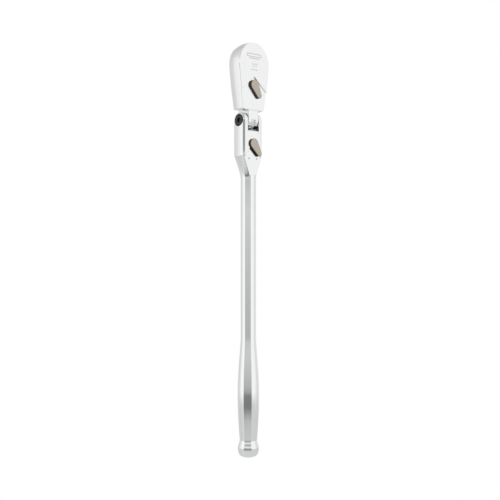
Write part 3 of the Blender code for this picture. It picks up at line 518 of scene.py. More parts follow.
# ---------------------------------------------------------------- head
def make_head():
    outline = head_outline()
    rim = 0.0007
    back_rim = 0.0011
    front_side = FRONT_FACE + rim
    back_side = BACK_FACE - back_rim
    profile = []
    for i in range(6):
        turn = pi / 2 * i / 5
        profile.append((FRONT_FACE + rim * (1 - sin(turn)), FRONT_DRAFT + rim * (1 - cos(turn))))
    profile.reverse()
    for i in range(1, 9):
        share = i / 8
        profile.append((front_side + (PARTING_LINE - front_side) * share, FRONT_DRAFT * (1 - share) ** 1.6))
    for i in range(1, 7):
        share = i / 6
        profile.append((PARTING_LINE + (back_side - PARTING_LINE) * share, BACK_DRAFT * share ** 1.3))
    for i in range(1, 8):
        turn = pi / 2 * i / 7
        profile.append((back_side + back_rim * sin(turn), BACK_DRAFT + back_rim * (1 - cos(turn))))
    head = plate("head_forging", outline, profile)
    cut(head, prism("head_recess", chevron(CHEVRON_TOP, CHEVRON_SLOPE, HEAD_WIDTH, -2 * SHOULDER_DROP),
                    FRONT_FACE - 0.01, RECESS_FACE))
    join(head, prism("tang", tang_outline(), -TANG_WIDTH / 2, TANG_WIDTH / 2, "X"))
    past = BACK_FACE + 0.002
    lever = (0, 0, REVERSE_Z)
    cut(head,
        prism("tang_notches", notch_comb(), -NOTCH_HALF_WIDTH, NOTCH_HALF_WIDTH, "X"),
        rod("tang_bore", PIVOT_RADIUS + RUNNING_FIT, -TANG_WIDTH, TANG_WIDTH, ALONG_X, (0, 0, PIVOT_Z)),
        prism("cover_seat", cover_outline(0.00012), COVER_FACE - COVER_THICKNESS - SEAT_GAP, past),
        rod("gear_bore", 0.0135, CAVITY_FRONT, past, ALONG_Y),
        prism("pawl_pocket", arc(0.01867, pi + 0.1907, 2 * pi - 0.1907, 40), CAVITY_FRONT, past),
        rod("cam_pocket", 0.0052, CAVITY_FRONT, past, ALONG_Y, lever),
        rod("journal_bore", 0.00755, -0.00815, past, ALONG_Y),
        rod("lever_bore", 0.00325, FRONT_FACE - OVERRUN, CAVITY_FRONT + OVERRUN, ALONG_Y, lever),
        rod("seal_seat", 0.00435, FRONT_FACE - OVERRUN, RECESS_FACE + 0.00115, ALONG_Y, lever))
    for x, z in screw_points():
        cut(head, rod("screw_hole", 0.0013, -0.0021, past, ALONG_Y, (x, 0, z), 24))
    for side in (-1, 1):
        pin = (side * PAWL_PIN_X, 0, PAWL_PIN_Z)
        cut(head, rod("pin_room", 0.0027, CAVITY_FRONT, past, ALONG_Y, pin, 24),
            rod("pin_seat", 0.0013, CAVITY_FRONT - 0.0022, past, ALONG_Y, pin, 24),
            rod("spring_well", 0.00155, -0.02465, -0.0149, ALONG_Z, (side * 0.0075, 0, 0), 24))
    cut(head, rod("detent_well", 0.00105, -0.0322, REVERSE_Z - 0.0044, ALONG_Z, (0, 0, 0), 24))
    head.name = "fine_head"
    return dress(head, head_chrome, "head", ["head_body"])


def screw_points():
    upper = [polar(0.0168, angle) for angle in (radians(50), radians(130))]
    return upper + [(0.0085, -0.031), (-0.0085, -0.031)]


def make_cover():
    under = COVER_FACE - COVER_THICKNESS
    cover = plate("fine_cover", cover_outline(), rounded(under, COVER_FACE, 0.00035))
    cut(cover, rod("drive_window", JOURNAL_RADIUS + 0.00012, under - OVERRUN, COVER_FACE + OVERRUN, ALONG_Y,
                   steps=FINE))
    for x, z in screw_points():
        cut(cover, rod("screw_seat", SCREW_HEAD + SEAT_GAP, COVER_FACE - 0.00135, COVER_FACE + OVERRUN, ALONG_Y,
                       (x, 0, z)),
            rod("screw_pass", 0.0014, under - OVERRUN, COVER_FACE, ALONG_Y, (x, 0, z), 24))
    dress(cover, cover_chrome, "head", ["cover_plate"], edge=0.00018)
    for number, (x, z) in enumerate(screw_points(), 1):
        seat = COVER_FACE - 0.0012
        profile = [(0, COVER_FACE), (SCREW_HEAD - 0.0005, COVER_FACE),
                   (SCREW_HEAD - 0.00018, COVER_FACE - 0.0001),
                   (SCREW_HEAD, COVER_FACE - 0.0004), (SCREW_HEAD, seat), (0.00125, seat),
                   (0.00125, under - 0.0075), (0, under - 0.0075)]
        screw = turned(f"fine_cover_screw_{number}", profile, ALONG_Y, (x, 0, z), 48)
        socket = [polar(0.00122, radians(60 * k + 12 * number), (x, z)) for k in range(6)]
        cut(screw, prism("hex_socket", socket, COVER_FACE - 0.0009, COVER_FACE + OVERRUN))
        dress(screw, screw_steel, "head", [f"cover_screw_{number}"], edge=0.00008)


# ---------------------------------------------------------------- drive
def make_drive():
    half = DRIVE_SQUARE / 2
    corner = 0.0009
    square = []
    for x, z, start in ((1, 1, 0), (-1, 1, 90), (-1, -1, 180), (1, -1, 270)):
        centre = (x * (half - corner), z * (half - corner))
        square += arc(corner, radians(start), radians(start + 90), 8, centre)
    lead = [(BACK_FACE - 0.001, 0), (BACK_FACE + 0.0008, 0), (DRIVE_END - 0.0016, 0),
            (DRIVE_END - 0.0012, 0.00006),
            (DRIVE_END - 0.0006, 0.0003), (DRIVE_END - 0.0002, 0.00056), (DRIVE_END, 0.00085)]
    drive = plate("fine_drive", square, lead)
    teeth = []
    pitch = 2 * pi / 72
    for tooth in range(72):
        middle = tooth * pitch
        for radius, aside in ((0.0132, -0.11), (0.0132, 0.11), (0.0125, 0.38), (0.0125, 0.62)):
            teeth.append(polar(radius, middle + aside * pitch))
    join(drive, prism("gear_teeth", teeth, -0.0058, 0.006),
         rod("front_journal", 0.0075, -0.008, -0.0048, ALONG_Y),
         turned("back_journal", [(0, 0.005), (JOURNAL_RADIUS, 0.005), (JOURNAL_RADIUS, BACK_FACE - 0.0004),
                                 (JOURNAL_RADIUS - 0.0004, BACK_FACE), (0, BACK_FACE)], ALONG_Y))
    cut(drive, rod("ball_well", BALL_RADIUS + RUNNING_FIT, -half - OVERRUN, 0.00215, ALONG_X, (0, BALL_Y, 0)))
    dress(drive, drive_chrome, "drive", ["drive_gear"], edge=0.00015)
    profile = [(BALL_RADIUS * sin(pi * i / 24), -BALL_RADIUS * cos(pi * i / 24)) for i in range(25)]
    centre = -half - 0.0009 + BALL_RADIUS
    ball = turned("fine_ball", profile, ALONG_X, (centre, BALL_Y, 0), 48)
    dress(ball, gear_steel, "ball", ["anvil_ball"], edge=0)


# ---------------------------------------------------------------- levers
def make_lever(name, rest, at_z, top, under, boss_foot, shaft, shaft_end, node, body, eccentric=None):
    """A cast thumb lever: crowned plate, round boss, shaft."""
    outline = lever_outline(rest)
    rim = 0.00075
    profile = [(top + 0.00012 * share, 0.0016 * (1 - share) + rim * 0.9) for share in (0, 0.5, 1)]
    for i in range(1, 7):
        turn = pi / 2 * i / 6
        profile.append((top + 0.00012 + rim * (1 - cos(turn)), rim * 0.9 * (1 - sin(turn))))
    profile += [(under - 0.0008, 0.00004), (under - 0.0003, 0.0001), (under, 0.00045)]
    lever = plate(name, outline, profile, (0, at_z))
    at = (0, 0, at_z)
    boss = [(0, under - 0.0006), (LEVER_BOSS, under - 0.0006), (LEVER_BOSS, boss_foot - 0.0001),
            (LEVER_BOSS - 0.0002, boss_foot), (0, boss_foot)]
    join(lever,
         turned("lever_boss", boss, ALONG_Y, at),
         rod("lever_shaft", shaft, boss_foot - 0.0004, shaft_end, ALONG_Y, at))
    if eccentric:
        x, z, end = eccentric
        join(lever, rod("eccentric", 0.0013, shaft_end - 0.0004, end, ALONG_Y, (x, 0, z), 32))
        cut(lever, hoop("pin_groove", soft_ring(0.0021, 0.004, -0.0061, -0.0043, 0.00005), ALONG_Y, at))
    else:
        cut(lever, hoop("clip_groove", soft_ring(0.0026, 0.0042, -0.006325, -0.005575, 0.00005), ALONG_Y, at))
    return dress(lever, lever_satin, body, [node], edge=0.00012, angle=40)


def make_levers():
    make_lever("fine_reverse_lever", REVERSE_REST, REVERSE_Z, -0.0121, -0.0095, RECESS_FACE - SEAT_GAP, 0.0032,
               COVER_FACE - COVER_THICKNESS - 0.0003, "reverse_lever", "reverse")
    swing = radians(70)
    arm = 0.0014 / (2 * sin(swing / 2))
    low = polar(arm, pi + swing / 2)
    make_lever("fine_lock_lever", LOCK_REST, LOCK_Z, -0.011, -0.0089, YOKE_FACE + SEAT_GAP, 0.003, -0.0037,
               "lock_lever", "lock", (low[0], LOCK_Z + low[1], 0.0008))
    for name, shaft, low_y, high_y, z, body, node in (
            ("fine_reverse_seal", 0.0032, RECESS_FACE + 0.00005, RECESS_FACE + 0.001, REVERSE_Z, "head",
             "reverse_seal"),
            ("fine_lock_seal", 0.003, YOKE_FACE + 0.00035, YOKE_FACE + 0.001, LOCK_Z, "handle", "lock_seal")):
        section = soft_ring(shaft + RUNNING_FIT, shaft + SEAL_WIDTH, low_y, high_y, 0.00012)
        seal = hoop(name, section, ALONG_Y, (0, 0, z))
        dress(seal, seal_rubber, body, [node], edge=0)


# ---------------------------------------------------------------- flex joint
def make_flex():
    at = (0, 0, PIVOT_Z)
    wide = YOKE_WIDTH / 2
    seat = -wide + 0.0028
    end = wide - 0.0008
    top = -wide + 0.0002
    profile = [(0, end), (0.003, end), (0.0036, end - 0.0006), (0.0036, 0.00775), (PIVOT_RADIUS, 0.00775),
               (PIVOT_RADIUS, seat), (PIVOT_HEAD, seat), (PIVOT_HEAD, top + 0.0006),
               (PIVOT_HEAD - 0.00018, top + 0.00022),
               (PIVOT_HEAD - 0.0006, top + 0.00004), (PIVOT_HEAD - 0.0011, top), (0.0034, top), (0, top)]
    screw = turned("fine_pivot_screw", profile, ALONG_X, at)
    socket = [polar(0.0029, radians(60 * k), (0, PIVOT_Z)) for k in range(6)]
    lead = [(0, top - 0.0001), (0.0032, top - 0.0001), (0.0025, top + 0.0006), (0, top + 0.0006)]
    cut(screw, prism("hex_socket", socket, -wide - OVERRUN, -wide + 0.0022, "X"),
        turned("socket_lead", lead, ALONG_X, at))
    dress(screw, black_oxide, "handle", ["pivot_screw"], edge=0.00012)
    for name, side in (("left", -1), ("right", 1)):
        inner = side * (TANG_WIDTH / 2 + SEAT_GAP)
        outer = side * (TANG_WIDTH / 2 + 0.00055)
        washer = hoop("fine_washer_" + name, soft_ring(PIVOT_RADIUS + RUNNING_FIT, 0.0076, min(inner, outer),
                                                       max(inner, outer), 0.00006), ALONG_X, at)
        dress(washer, washer_steel, "handle", ["tang_washer_" + name], edge=0)


# ---------------------------------------------------------------- finishes
def add(tree, kind, at=(0, 0), **values):
    node = tree.nodes.new(kind)
    node.location = at
    for key, value in values.items():
        setattr(node, key, value)
    return node


def group_with(name, inputs, outputs):
    group = bpy.data.node_groups.new(name, "ShaderNodeTree")
    for label, value in inputs:
        socket = group.interface.new_socket(name=label, in_out="INPUT", socket_type="NodeSocketFloat")
        socket.default_value = value
    for label in outputs:
        group.interface.new_socket(name=label, in_out="OUTPUT", socket_type="NodeSocketFloat")
    return group, add(group, "NodeGroupInput", (-1100, 0)), add(group, "NodeGroupOutput", (700, 0))


def math(tree, operation, first, second=None, at=(0, 0), clamp=False):
    node = add(tree, "ShaderNodeMath", at, operation=operation, use_clamp=clamp)
    for i, value in enumerate((first, second)):
        if value is None:
            continue
        if isinstance(value, (int, float)):
            node.inputs[i].default_value = value
        else:
            tree.links.new(value, node.inputs[i])
    return node.outputs[0]


def remap(tree, value, low, high, at=(0, 0), to_low=0.0, to_high=1.0, smooth=True):
    node = add(tree, "ShaderNodeMapRange", at, interpolation_type="SMOOTHSTEP" if smooth else "LINEAR")
    for i, bound in enumerate((low, high, to_low, to_high), 1):
        node.inputs[i].default_value = bound
    tree.links.new(value, node.inputs[0])
    return node.outputs[0]


def noise(tree, scale, detail=3.0, roughness=0.55, stretch=None, at=(0, 0)):
    """Noise in the piece's own metres, stretched along an axis for brush and polishing lines."""
    place = add(tree, "ShaderNodeTexCoord", (at[0] - 500, at[1]))
    spot = place.outputs["Object"]
    if stretch:
        mapping = add(tree, "ShaderNodeMapping", (at[0] - 300, at[1]))
        mapping.inputs["Scale"].default_value = stretch
        tree.links.new(spot, mapping.inputs["Vector"])
        spot = mapping.outputs[0]
    node = add(tree, "ShaderNodeTexNoise", at)
    node.inputs["Scale"].default_value = scale
    node.inputs["Detail"].default_value = detail
    node.inputs["Roughness"].default_value = roughness
    tree.links.new(spot, node.inputs["Vector"])
    return node.outputs["Fac"]


def worn_edges():
    """Where a convex edge has been rubbed. Reach sets how much of the edge counts."""
    group, given, result = group_with("worn_edges", [("Reach", 0.06), ("Breakup", 0.35)], ["Wear"])
    shape = add(group, "ShaderNodeNewGeometry", (-900, 0))
    raised = math(group, "SUBTRACT", shape.outputs["Pointiness"], 0.5, (-700, 0))
    reach = math(group, "MAXIMUM", given.outputs["Reach"], 0.001, (-700, -160))
    edge = math(group, "DIVIDE", raised, reach, (-500, 0), True)
    patch = remap(group, noise(group, 900, 4, 0.6, at=(-700, -350)), 0.35, 0.7, (-300, -300))
    broken = math(group, "MULTIPLY", patch, given.outputs["Breakup"], (-100, -300))
    kept = math(group, "SUBTRACT", 1.0, broken, (80, -300))
    group.links.new(math(group, "MULTIPLY", edge, kept, (260, 0), True), result.inputs["Wear"])
    return group


def hairlines():
    """Fine wiping scratches in three directions, as a height and as a mask of the rougher spots."""
    group, given, result = group_with("hairlines", [("Amount", 1.0)], ["Height", "Dull"])
    total = None
    for k, stretch in enumerate(((1, 1, 0.03), (0.05, 1, 1), (1, 0.06, 0.8))):
        lines = noise(group, 2600 + 700 * k, 2, 0.5, stretch, (-600, 300 - 300 * k))
        thin = remap(group, lines, 0.62, 0.72, (-300, 300 - 300 * k))
        total = thin if total is None else math(group, "ADD", total, thin, (-60, 300 - 300 * k))
    patch = remap(group, noise(group, 60, 3, 0.6, at=(-600, -700)), 0.42, 0.68, (-300, -700))
    seen = math(group, "MULTIPLY", total, patch, (120, 0))
    scaled = math(group, "MULTIPLY", seen, given.outputs["Amount"], (300, 0))
    group.links.new(scaled, result.inputs["Height"])
    group.links.new(math(group, "MULTIPLY", scaled, 0.5, (480, -100), True), result.inputs["Dull"])
    return group


def handling_film():
    """Soft patches where oil and fingers leave a thin film on plating."""
    group, given, result = group_with("handling_film", [("Scale", 70.0), ("Amount", 1.0)], ["Film"])
    place = add(group, "ShaderNodeTexCoord", (-900, 200))
    cloud = add(group, "ShaderNodeTexNoise", (-650, 200))
    cloud.inputs["Detail"].default_value = 5
    cloud.inputs["Roughness"].default_value = 0.62
    cloud.inputs["Distortion"].default_value = 0.6
    group.links.new(place.outputs["Object"], cloud.inputs["Vector"])
    group.links.new(given.outputs["Scale"], cloud.inputs["Scale"])
    patch = remap(group, cloud.outputs["Fac"], 0.46, 0.72, (-400, 200))
    group.links.new(math(group, "MULTIPLY", patch, given.outputs["Amount"], (-150, 200), True),
                    result.inputs["Film"])
    return group


def place_group(tree, group, at, **values):
    node = add(tree, "ShaderNodeGroup", at, node_tree=group)
    for label, value in values.items():
        node.inputs[label].default_value = value
    return node


def blend_colours(tree, mask, first, second, at):
    node = add(tree, "ShaderNodeMix", at, data_type="RGBA")
    for slot_name, value in (("A", first), ("B", second)):
        socket = [s for s in node.inputs if s.name == slot_name and s.type == "RGBA"][0]
        if isinstance(value, tuple):
            socket.default_value = (*value, 1)
        else:
            tree.links.new(value, socket)
    tree.links.new(mask, node.inputs[0])
    return [s for s in node.outputs if s.type == "RGBA"][0]


def new_finish(name):
    material = bpy.data.materials.new(name)
    material.use_nodes = True
    tree = material.node_tree
    return material, tree, tree.nodes["Principled BSDF"]


def bump(tree, height, strength, distance, at, below=None):
    node = add(tree, "ShaderNodeBump", at)
    node.inputs["Strength"].default_value = strength
    node.inputs["Distance"].default_value = distance
    tree.links.new(height, node.inputs["Height"])
    if below is not None:
        tree.links.new(below, node.inputs["Normal"])
    return node.outputs[0]


def lever_side(tree, at, start=-0.985, full=-0.9995):
    """1 on faces that look along the piece's own -Y, as the levers' faces do."""
    shape = add(tree, "ShaderNodeNewGeometry", (at[0] - 600, at[1]))
    own = add(tree, "ShaderNodeVectorTransform", (at[0] - 400, at[1]), vector_type="NORMAL",
              convert_from="WORLD", convert_to="OBJECT")
    split = add(tree, "ShaderNodeSeparateXYZ", (at[0] - 200, at[1]))
    tree.links.new(shape.outputs["Normal"], own.inputs[0])
    tree.links.new(own.outputs[0], split.inputs[0])
    return remap(tree, split.outputs["Y"], start, full, at)


def polished(name, colour, film_colour, roughness, ripple, scratch, satin=0.0):
    """Mirror plating over a polished forging: slow ripple, hairlines, film and brighter worn edges.
    Satin is the extra roughness of the flat faces on the lever side, which are ground before plating."""
    material, tree, shader = new_finish(name)
    film = place_group(tree, FILM, (-700, 300), Scale=75.0, Amount=0.55)
    wear = place_group(tree, WEAR, (-700, 100), Reach=0.05, Breakup=0.4)
    lines = place_group(tree, LINES, (-700, -100), Amount=1.0)
    tinted = blend_colours(tree, film.outputs["Film"], colour, film_colour, (-450, 300))
    bright = tuple(min(1.0, c * 1.03) for c in colour)
    tree.links.new(blend_colours(tree, wear.outputs["Wear"], tinted, bright, (-250, 300)),
                   shader.inputs["Base Color"])
    rough = math(tree, "MULTIPLY", film.outputs["Film"], 0.05, (-450, 60))
    scuffed = math(tree, "MULTIPLY", lines.outputs["Dull"], 0.1, (-450, -60))
    rubbed = math(tree, "MULTIPLY", wear.outputs["Wear"], 0.05, (-450, -180))
    rough = math(tree, "ADD", math(tree, "ADD", rough, scuffed, (-300, 0)), rubbed, (-200, 0))
    if satin:
        ground = math(tree, "MULTIPLY", lever_side(tree, (-900, -250)), satin, (-300, -250))
        rough = math(tree, "ADD", rough, ground, (-160, -100))
    tree.links.new(math(tree, "ADD", rough, roughness, (-100, 0)), shader.inputs["Roughness"])
    swell = noise(tree, 110, 2, 0.4, (1, 1, 0.35), (-700, -400))
    base = bump(tree, swell, ripple, 0.0002, (-450, -400))
    tree.links.new(bump(tree, lines.outputs["Height"], scratch, 0.000008, (-200, -400), base),
                   shader.inputs["Normal"])
    shader.inputs["Metallic"].default_value = 1.0
    return material


def paint_slot_shade(material):
    """Painted shade at the foot of the tang's slot: the plated colour darkens towards the slot floor, standing
    in for the shade that falls inside the slot.
    """
    tree = material.node_tree
    shader = tree.nodes["Principled BSDF"]
    plated = shader.inputs["Base Color"].links[0].from_socket
    place = add(tree, "ShaderNodeTexCoord", (-1500, 700))
    split = add(tree, "ShaderNodeSeparateXYZ", (-1300, 700))
    tree.links.new(place.outputs["Object"], split.inputs[0])
    across = math(tree, "ABSOLUTE", split.outputs["X"], 0.0, (-1100, 800))
    within = math(tree, "LESS_THAN", across, SLOT_WIDTH / 2 + 0.00004, (-900, 800))
    above = math(tree, "GREATER_THAN", split.outputs["Z"], SLOT_FLOOR - 0.00004, (-1100, 600))
    fade = remap(tree, split.outputs["Z"], SLOT_FLOOR + 0.0008, SLOT_FLOOR + 0.0062, (-1100, 450), 1, 0)
    slot_shade_mask = math(tree, "MULTIPLY", math(tree, "MULTIPLY", within, above, (-700, 700)), fade, (-550, 650))
    # painted shade: the plated colour is blended towards a dark grey near the slot floor, within the slot's
    # width
    tree.links.new(blend_colours(tree, slot_shade_mask, plated, PAINTED_SLOT_SHADE, (-120, 500)), shader.inputs["Base Color"])
    return material


def turned_steel(name, colour, dark, roughness, grain, stretch, strength=0.15):
    """Plain machined steel with its tool lines and a little oil in them."""
    material, tree, shader = new_finish(name)
    lines = noise(tree, grain, 3, 0.6, stretch, (-700, 0))
    film = place_group(tree, FILM, (-700, 300), Scale=260.0, Amount=0.8)
    wear = place_group(tree, WEAR, (-700, 150), Reach=0.06, Breakup=0.4)
    base = blend_colours(tree, film.outputs["Film"], colour, dark, (-450, 300))
    bright = tuple(min(1.0, c * 1.2) for c in colour)
    tree.links.new(blend_colours(tree, wear.outputs["Wear"], base, bright, (-250, 300)),
                   shader.inputs["Base Color"])
    tree.links.new(remap(tree, lines, 0.3, 0.7, (-450, 0), roughness - 0.06, roughness + 0.08),
                   shader.inputs["Roughness"])
    tree.links.new(bump(tree, lines, strength, 0.00003, (-450, -300)), shader.inputs["Normal"])
    shader.inputs["Metallic"].default_value = 1.0
    return material


def cast_lever_finish():
    """Warm satin on the thumb face, brown-black on the other faces: the sides and the boss below."""
    material, tree, shader = new_finish("lever_satin")
    thumb = lever_side(tree, (-700, 300), -0.62, -0.88)
    ragged = noise(tree, 1500, 4, 0.6, at=(-900, 50))
    face = math(tree, "MULTIPLY", thumb, remap(tree, ragged, 0.2, 0.4, (-700, 60)), (-500, 260), True)
    wear = place_group(tree, WEAR, (-900, -150), Reach=0.07, Breakup=0.5)
    brushed = noise(tree, 3000, 3, 0.6, (1, 1, 0.12), (-900, -350))
    warm = blend_colours(tree, remap(tree, brushed, 0.3, 0.7, (-700, -350)), LEVER_WARM, LEVER_PALE, (-500, 60))
    sides = blend_colours(tree, remap(tree, ragged, 0.35, 0.65, (-700, -60)), LEVER_DARK, LEVER_BROWN,
                          (-500, -120))
    colour = blend_colours(tree, face, sides, warm, (-300, 200))
    rubbed = math(tree, "MULTIPLY", wear.outputs["Wear"], 0.5, (-500, -260))
    tree.links.new(blend_colours(tree, rubbed, colour, LEVER_RUBBED, (-120, 200)), shader.inputs["Base Color"])
    tree.links.new(remap(tree, brushed, 0.25, 0.75, (-300, -350), 0.36, 0.5), shader.inputs["Roughness"])
    grain = bump(tree, brushed, 0.25, 0.00002, (-300, -550))
    tree.links.new(bump(tree, ragged, 0.3, 0.00004, (-120, -550), grain), shader.inputs["Normal"])
    shader.inputs["Metallic"].default_value = 0.75
    return material


def black_oxide_finish():
    material, tree, shader = new_finish("black_oxide")
    film = place_group(tree, FILM, (-700, 300), Scale=420.0, Amount=1.0)
    wear = place_group(tree, WEAR, (-700, 100), Reach=0.05, Breakup=0.6)
    base = blend_colours(tree, film.outputs["Film"], OXIDE, OXIDE_PALE, (-450, 300))
    tree.links.new(blend_colours(tree, math(tree, "MULTIPLY", wear.outputs["Wear"], 0.45, (-450, 100)), base,
                                 OXIDE_WORN, (-250, 300)), shader.inputs["Base Color"])
    grain = noise(tree, 4200, 3, 0.6, at=(-700, -250))
    tree.links.new(remap(tree, grain, 0.3, 0.7, (-450, -150), 0.34, 0.5), shader.inputs["Roughness"])
    tree.links.new(bump(tree, grain, 0.25, 0.00003, (-450, -350)), shader.inputs["Normal"])
    shader.inputs["Metallic"].default_value = 0.6
    return material


def rubber_finish():
    material, tree, shader = new_finish("seal_rubber")
    dust = place_group(tree, FILM, (-700, 300), Scale=600.0, Amount=1.0)
    tree.links.new(blend_colours(tree, dust.outputs["Film"], (0.016, 0.016, 0.017), (0.05, 0.048, 0.045),
                                 (-450, 300)), shader.inputs["Base Color"])
    grain = noise(tree, 5200, 4, 0.6, at=(-700, -200))
    tree.links.new(remap(tree, grain, 0.3, 0.7, (-450, -100), 0.55, 0.8), shader.inputs["Roughness"])
    tree.links.new(bump(tree, grain, 0.3, 0.00004, (-450, -300)), shader.inputs["Normal"])
    return material


def etched_finish(name, colour, other):
    """Laser marking: a dull frosted skin, a little uneven."""
    material, tree, shader = new_finish(name)
    frost = noise(tree, 5200, 3, 0.7, at=(-700, 0))
    tree.links.new(blend_colours(tree, remap(tree, frost, 0.35, 0.65, (-500, 200)), colour, other, (-300, 200)),
                   shader.inputs["Base Color"])
    tree.links.new(remap(tree, frost, 0.3, 0.7, (-500, 0), 0.45, 0.7), shader.inputs["Roughness"])
    tree.links.new(bump(tree, frost, 0.3, 0.00002, (-500, -250)), shader.inputs["Normal"])
    shader.inputs["Metallic"].default_value = 0.4
    return material


LEVER_WARM = (0.56, 0.49, 0.42)
LEVER_PALE = (0.68, 0.61, 0.54)
LEVER_DARK = (0.035, 0.028, 0.022)
LEVER_BROWN = (0.10, 0.08, 0.062)
LEVER_RUBBED = (0.52, 0.48, 0.42)
# dark grey of the painted shade at the foot of the tang's slot
PAINTED_SLOT_SHADE = (0.17, 0.17, 0.172)
OXIDE = (0.028, 0.028, 0.031)
OXIDE_PALE = (0.05, 0.05, 0.054)
OXIDE_WORN = (0.2, 0.2, 0.21)

WEAR = worn_edges()
LINES = hairlines()
FILM = handling_film()
# the handle's chrome carries painted shade at the foot of the tang's slot
handle_chrome = paint_slot_shade(polished("handle_chrome", (0.945, 0.95, 0.955), (0.915, 0.92, 0.928), 0.035, 0.06,
                                     0.12, 0.08))
head_chrome = polished("head_chrome", (0.945, 0.948, 0.952), (0.915, 0.918, 0.922), 0.045, 0.05, 0.12, 0.08)
cover_chrome = polished("cover_chrome", (0.87, 0.88, 0.89), (0.83, 0.84, 0.855), 0.075, 0.04, 0.3)
drive_chrome = turned_steel("drive_chrome", (0.84, 0.845, 0.85), (0.74, 0.745, 0.75), 0.16, 2600, (1, 0.08, 1))
gear_steel = turned_steel("gear_steel", (0.62, 0.62, 0.63), (0.42, 0.41, 0.4), 0.26, 3200, (1, 1, 0.1))
screw_steel = turned_steel("screw_steel", (0.45, 0.45, 0.46), (0.3, 0.295, 0.29), 0.32, 3600, (1, 0.2, 1))
spring_wire = turned_steel("spring_wire", (0.4, 0.4, 0.42), (0.26, 0.25, 0.25), 0.34, 5200, (1, 1, 1))
washer_steel = turned_steel("washer_steel", (0.55, 0.55, 0.56), (0.36, 0.355, 0.35), 0.36, 2400, (0.3, 1, 1))
lever_satin = cast_lever_finish()
black_oxide = black_oxide_finish()
seal_rubber = rubber_finish()
etched_grey = etched_finish("etched_grey", (0.6, 0.59, 0.57), (0.7, 0.69, 0.67))
etched_sand = etched_finish("etched_sand", (0.6, 0.56, 0.49), (0.7, 0.66, 0.59))


# ---------------------------------------------------------------- marks
def flat_mark(name, outline, at, level, body, material, thickness=0.00003, width=None):
    """A thin etched shape on a face that looks along -Y. A width draws the outline as a stroke instead."""
    bm = bmesh.new()
    if width:
        inner = inset_outline(outline, width)
        rings = [outline, inner]
        rows = []
        for y in (level, level - thickness):
            rows.append([[bm.verts.new((x + at[0], y, z + at[1])) for x, z in ring] for ring in rings])
        count = len(outline)
        for i in range(count):
            j = (i + 1) % count
            bm.faces.new((rows[1][0][i], rows[1][0][j], rows[1][1][j], rows[1][1][i]))
            bm.faces.new((rows[0][0][i], rows[0][1][i], rows[0][1][j], rows[0][0][j]))
            for k in (0, 1):
                bm.faces.new((rows[0][k][i], rows[0][k][j], rows[1][k][j], rows[1][k][i]))
    else:
        loft(bm, [[(x + at[0], y, z + at[1]) for x, z in outline] for y in (level - thickness, level)])
    mark = solid(name, bm)
    return dress(mark, material, body, edge=0)


def stroke(points, width):
    """Outline of a line of even width through a few points."""
    left = []
    right = []
    for i, (x, z) in enumerate(points):
        before = points[max(0, i - 1)]
        after = points[min(len(points) - 1, i + 1)]
        dx = after[0] - before[0]
        dz = after[1] - before[1]
        length = hypot(dx, dz)
        left.append((x - dz / length * width / 2, z + dx / length * width / 2))
        right.append((x + dz / length * width / 2, z - dx / length * width / 2))
    return left + list(reversed(right))


def round_bar(length, width):
    half = length / 2 - width / 2
    return arc(width / 2, -pi / 2, pi / 2, 8, (half, 0)) + arc(width / 2, pi / 2, 1.5 * pi, 8, (-half, 0))


def make_marks():
    face = FRONT_FACE
    two = arc(0.00105, pi, -0.15 * pi, 14, (0, 0.00085))
    two += [(0.0006, -0.0001), (-0.00095, -0.0021), (0.0012, -0.0021)]
    flat_mark("size_mark_one", stroke([(0.0003, 0.0021), (0.0003, -0.0021)], 0.00042), (-0.0023, 0.0008), face,
              "head", etched_grey)
    flat_mark("size_mark_flag", stroke([(-0.0006, 0.0011), (0.0003, 0.0018)], 0.00038), (-0.0023, 0.0008), face,
              "head", etched_grey, thickness=0.00002)
    flat_mark("size_mark_slash", stroke([(-0.0009, -0.0022), (0.0009, 0.0022)], 0.0003), (0, 0.0006), face,
              "head", etched_grey)
    flat_mark("size_mark_two", stroke(two, 0.00042), (0.0025, 0.0004), face, "head", etched_grey)
    flat_mark("size_rule", round_bar(0.0095, 0.0006), (0.0, -0.0045), face, "head", etched_grey)
    flat_mark("maker_band", round_bar(0.0205, 0.0036), (-0.0002, 0.0112), face, "head", etched_sand,
              width=0.0006)
    flat_mark("maker_line", round_bar(0.0145, 0.0006), (-0.0002, 0.0078), face, "head", etched_sand)
    turn = stroke(arc(0.0072, radians(205), radians(238), 10, (0, REVERSE_Z)), 0.0004)
    flat_mark("turn_arrow_line", turn, (0, 0), RECESS_FACE, "head", etched_grey)
    tip = [polar(0.0072 + 0.0009, radians(238)), polar(0.0072, radians(247)),
           polar(0.0072 - 0.0009, radians(238))]
    flat_mark("turn_arrow_tip", tip, (0, REVERSE_Z), RECESS_FACE, "head", etched_grey)
    for name, x, turned_open in (("open", -0.0052, 1), ("closed", 0.0058, 0)):
        at = (x, -0.1016)
        flat_mark(f"lock_{name}_case", round_bar(0.0021, 0.0015), at, YOKE_FACE, "handle", etched_grey)
        loop = arc(0.00065, pi, 0.25 * pi * turned_open, 10, (0, 0.001))
        flat_mark(f"lock_{name}_loop", stroke([(-0.00065, 0.0005)] + loop, 0.00028), at, YOKE_FACE, "handle",
                  etched_grey)


# ---------------------------------------------------------------- studio
VIEW_ANGLE = radians(40)
TOOL_TO_LENS = 0.916
LENS_HEIGHT = -0.2015
LENS_ASIDE = 0.0018


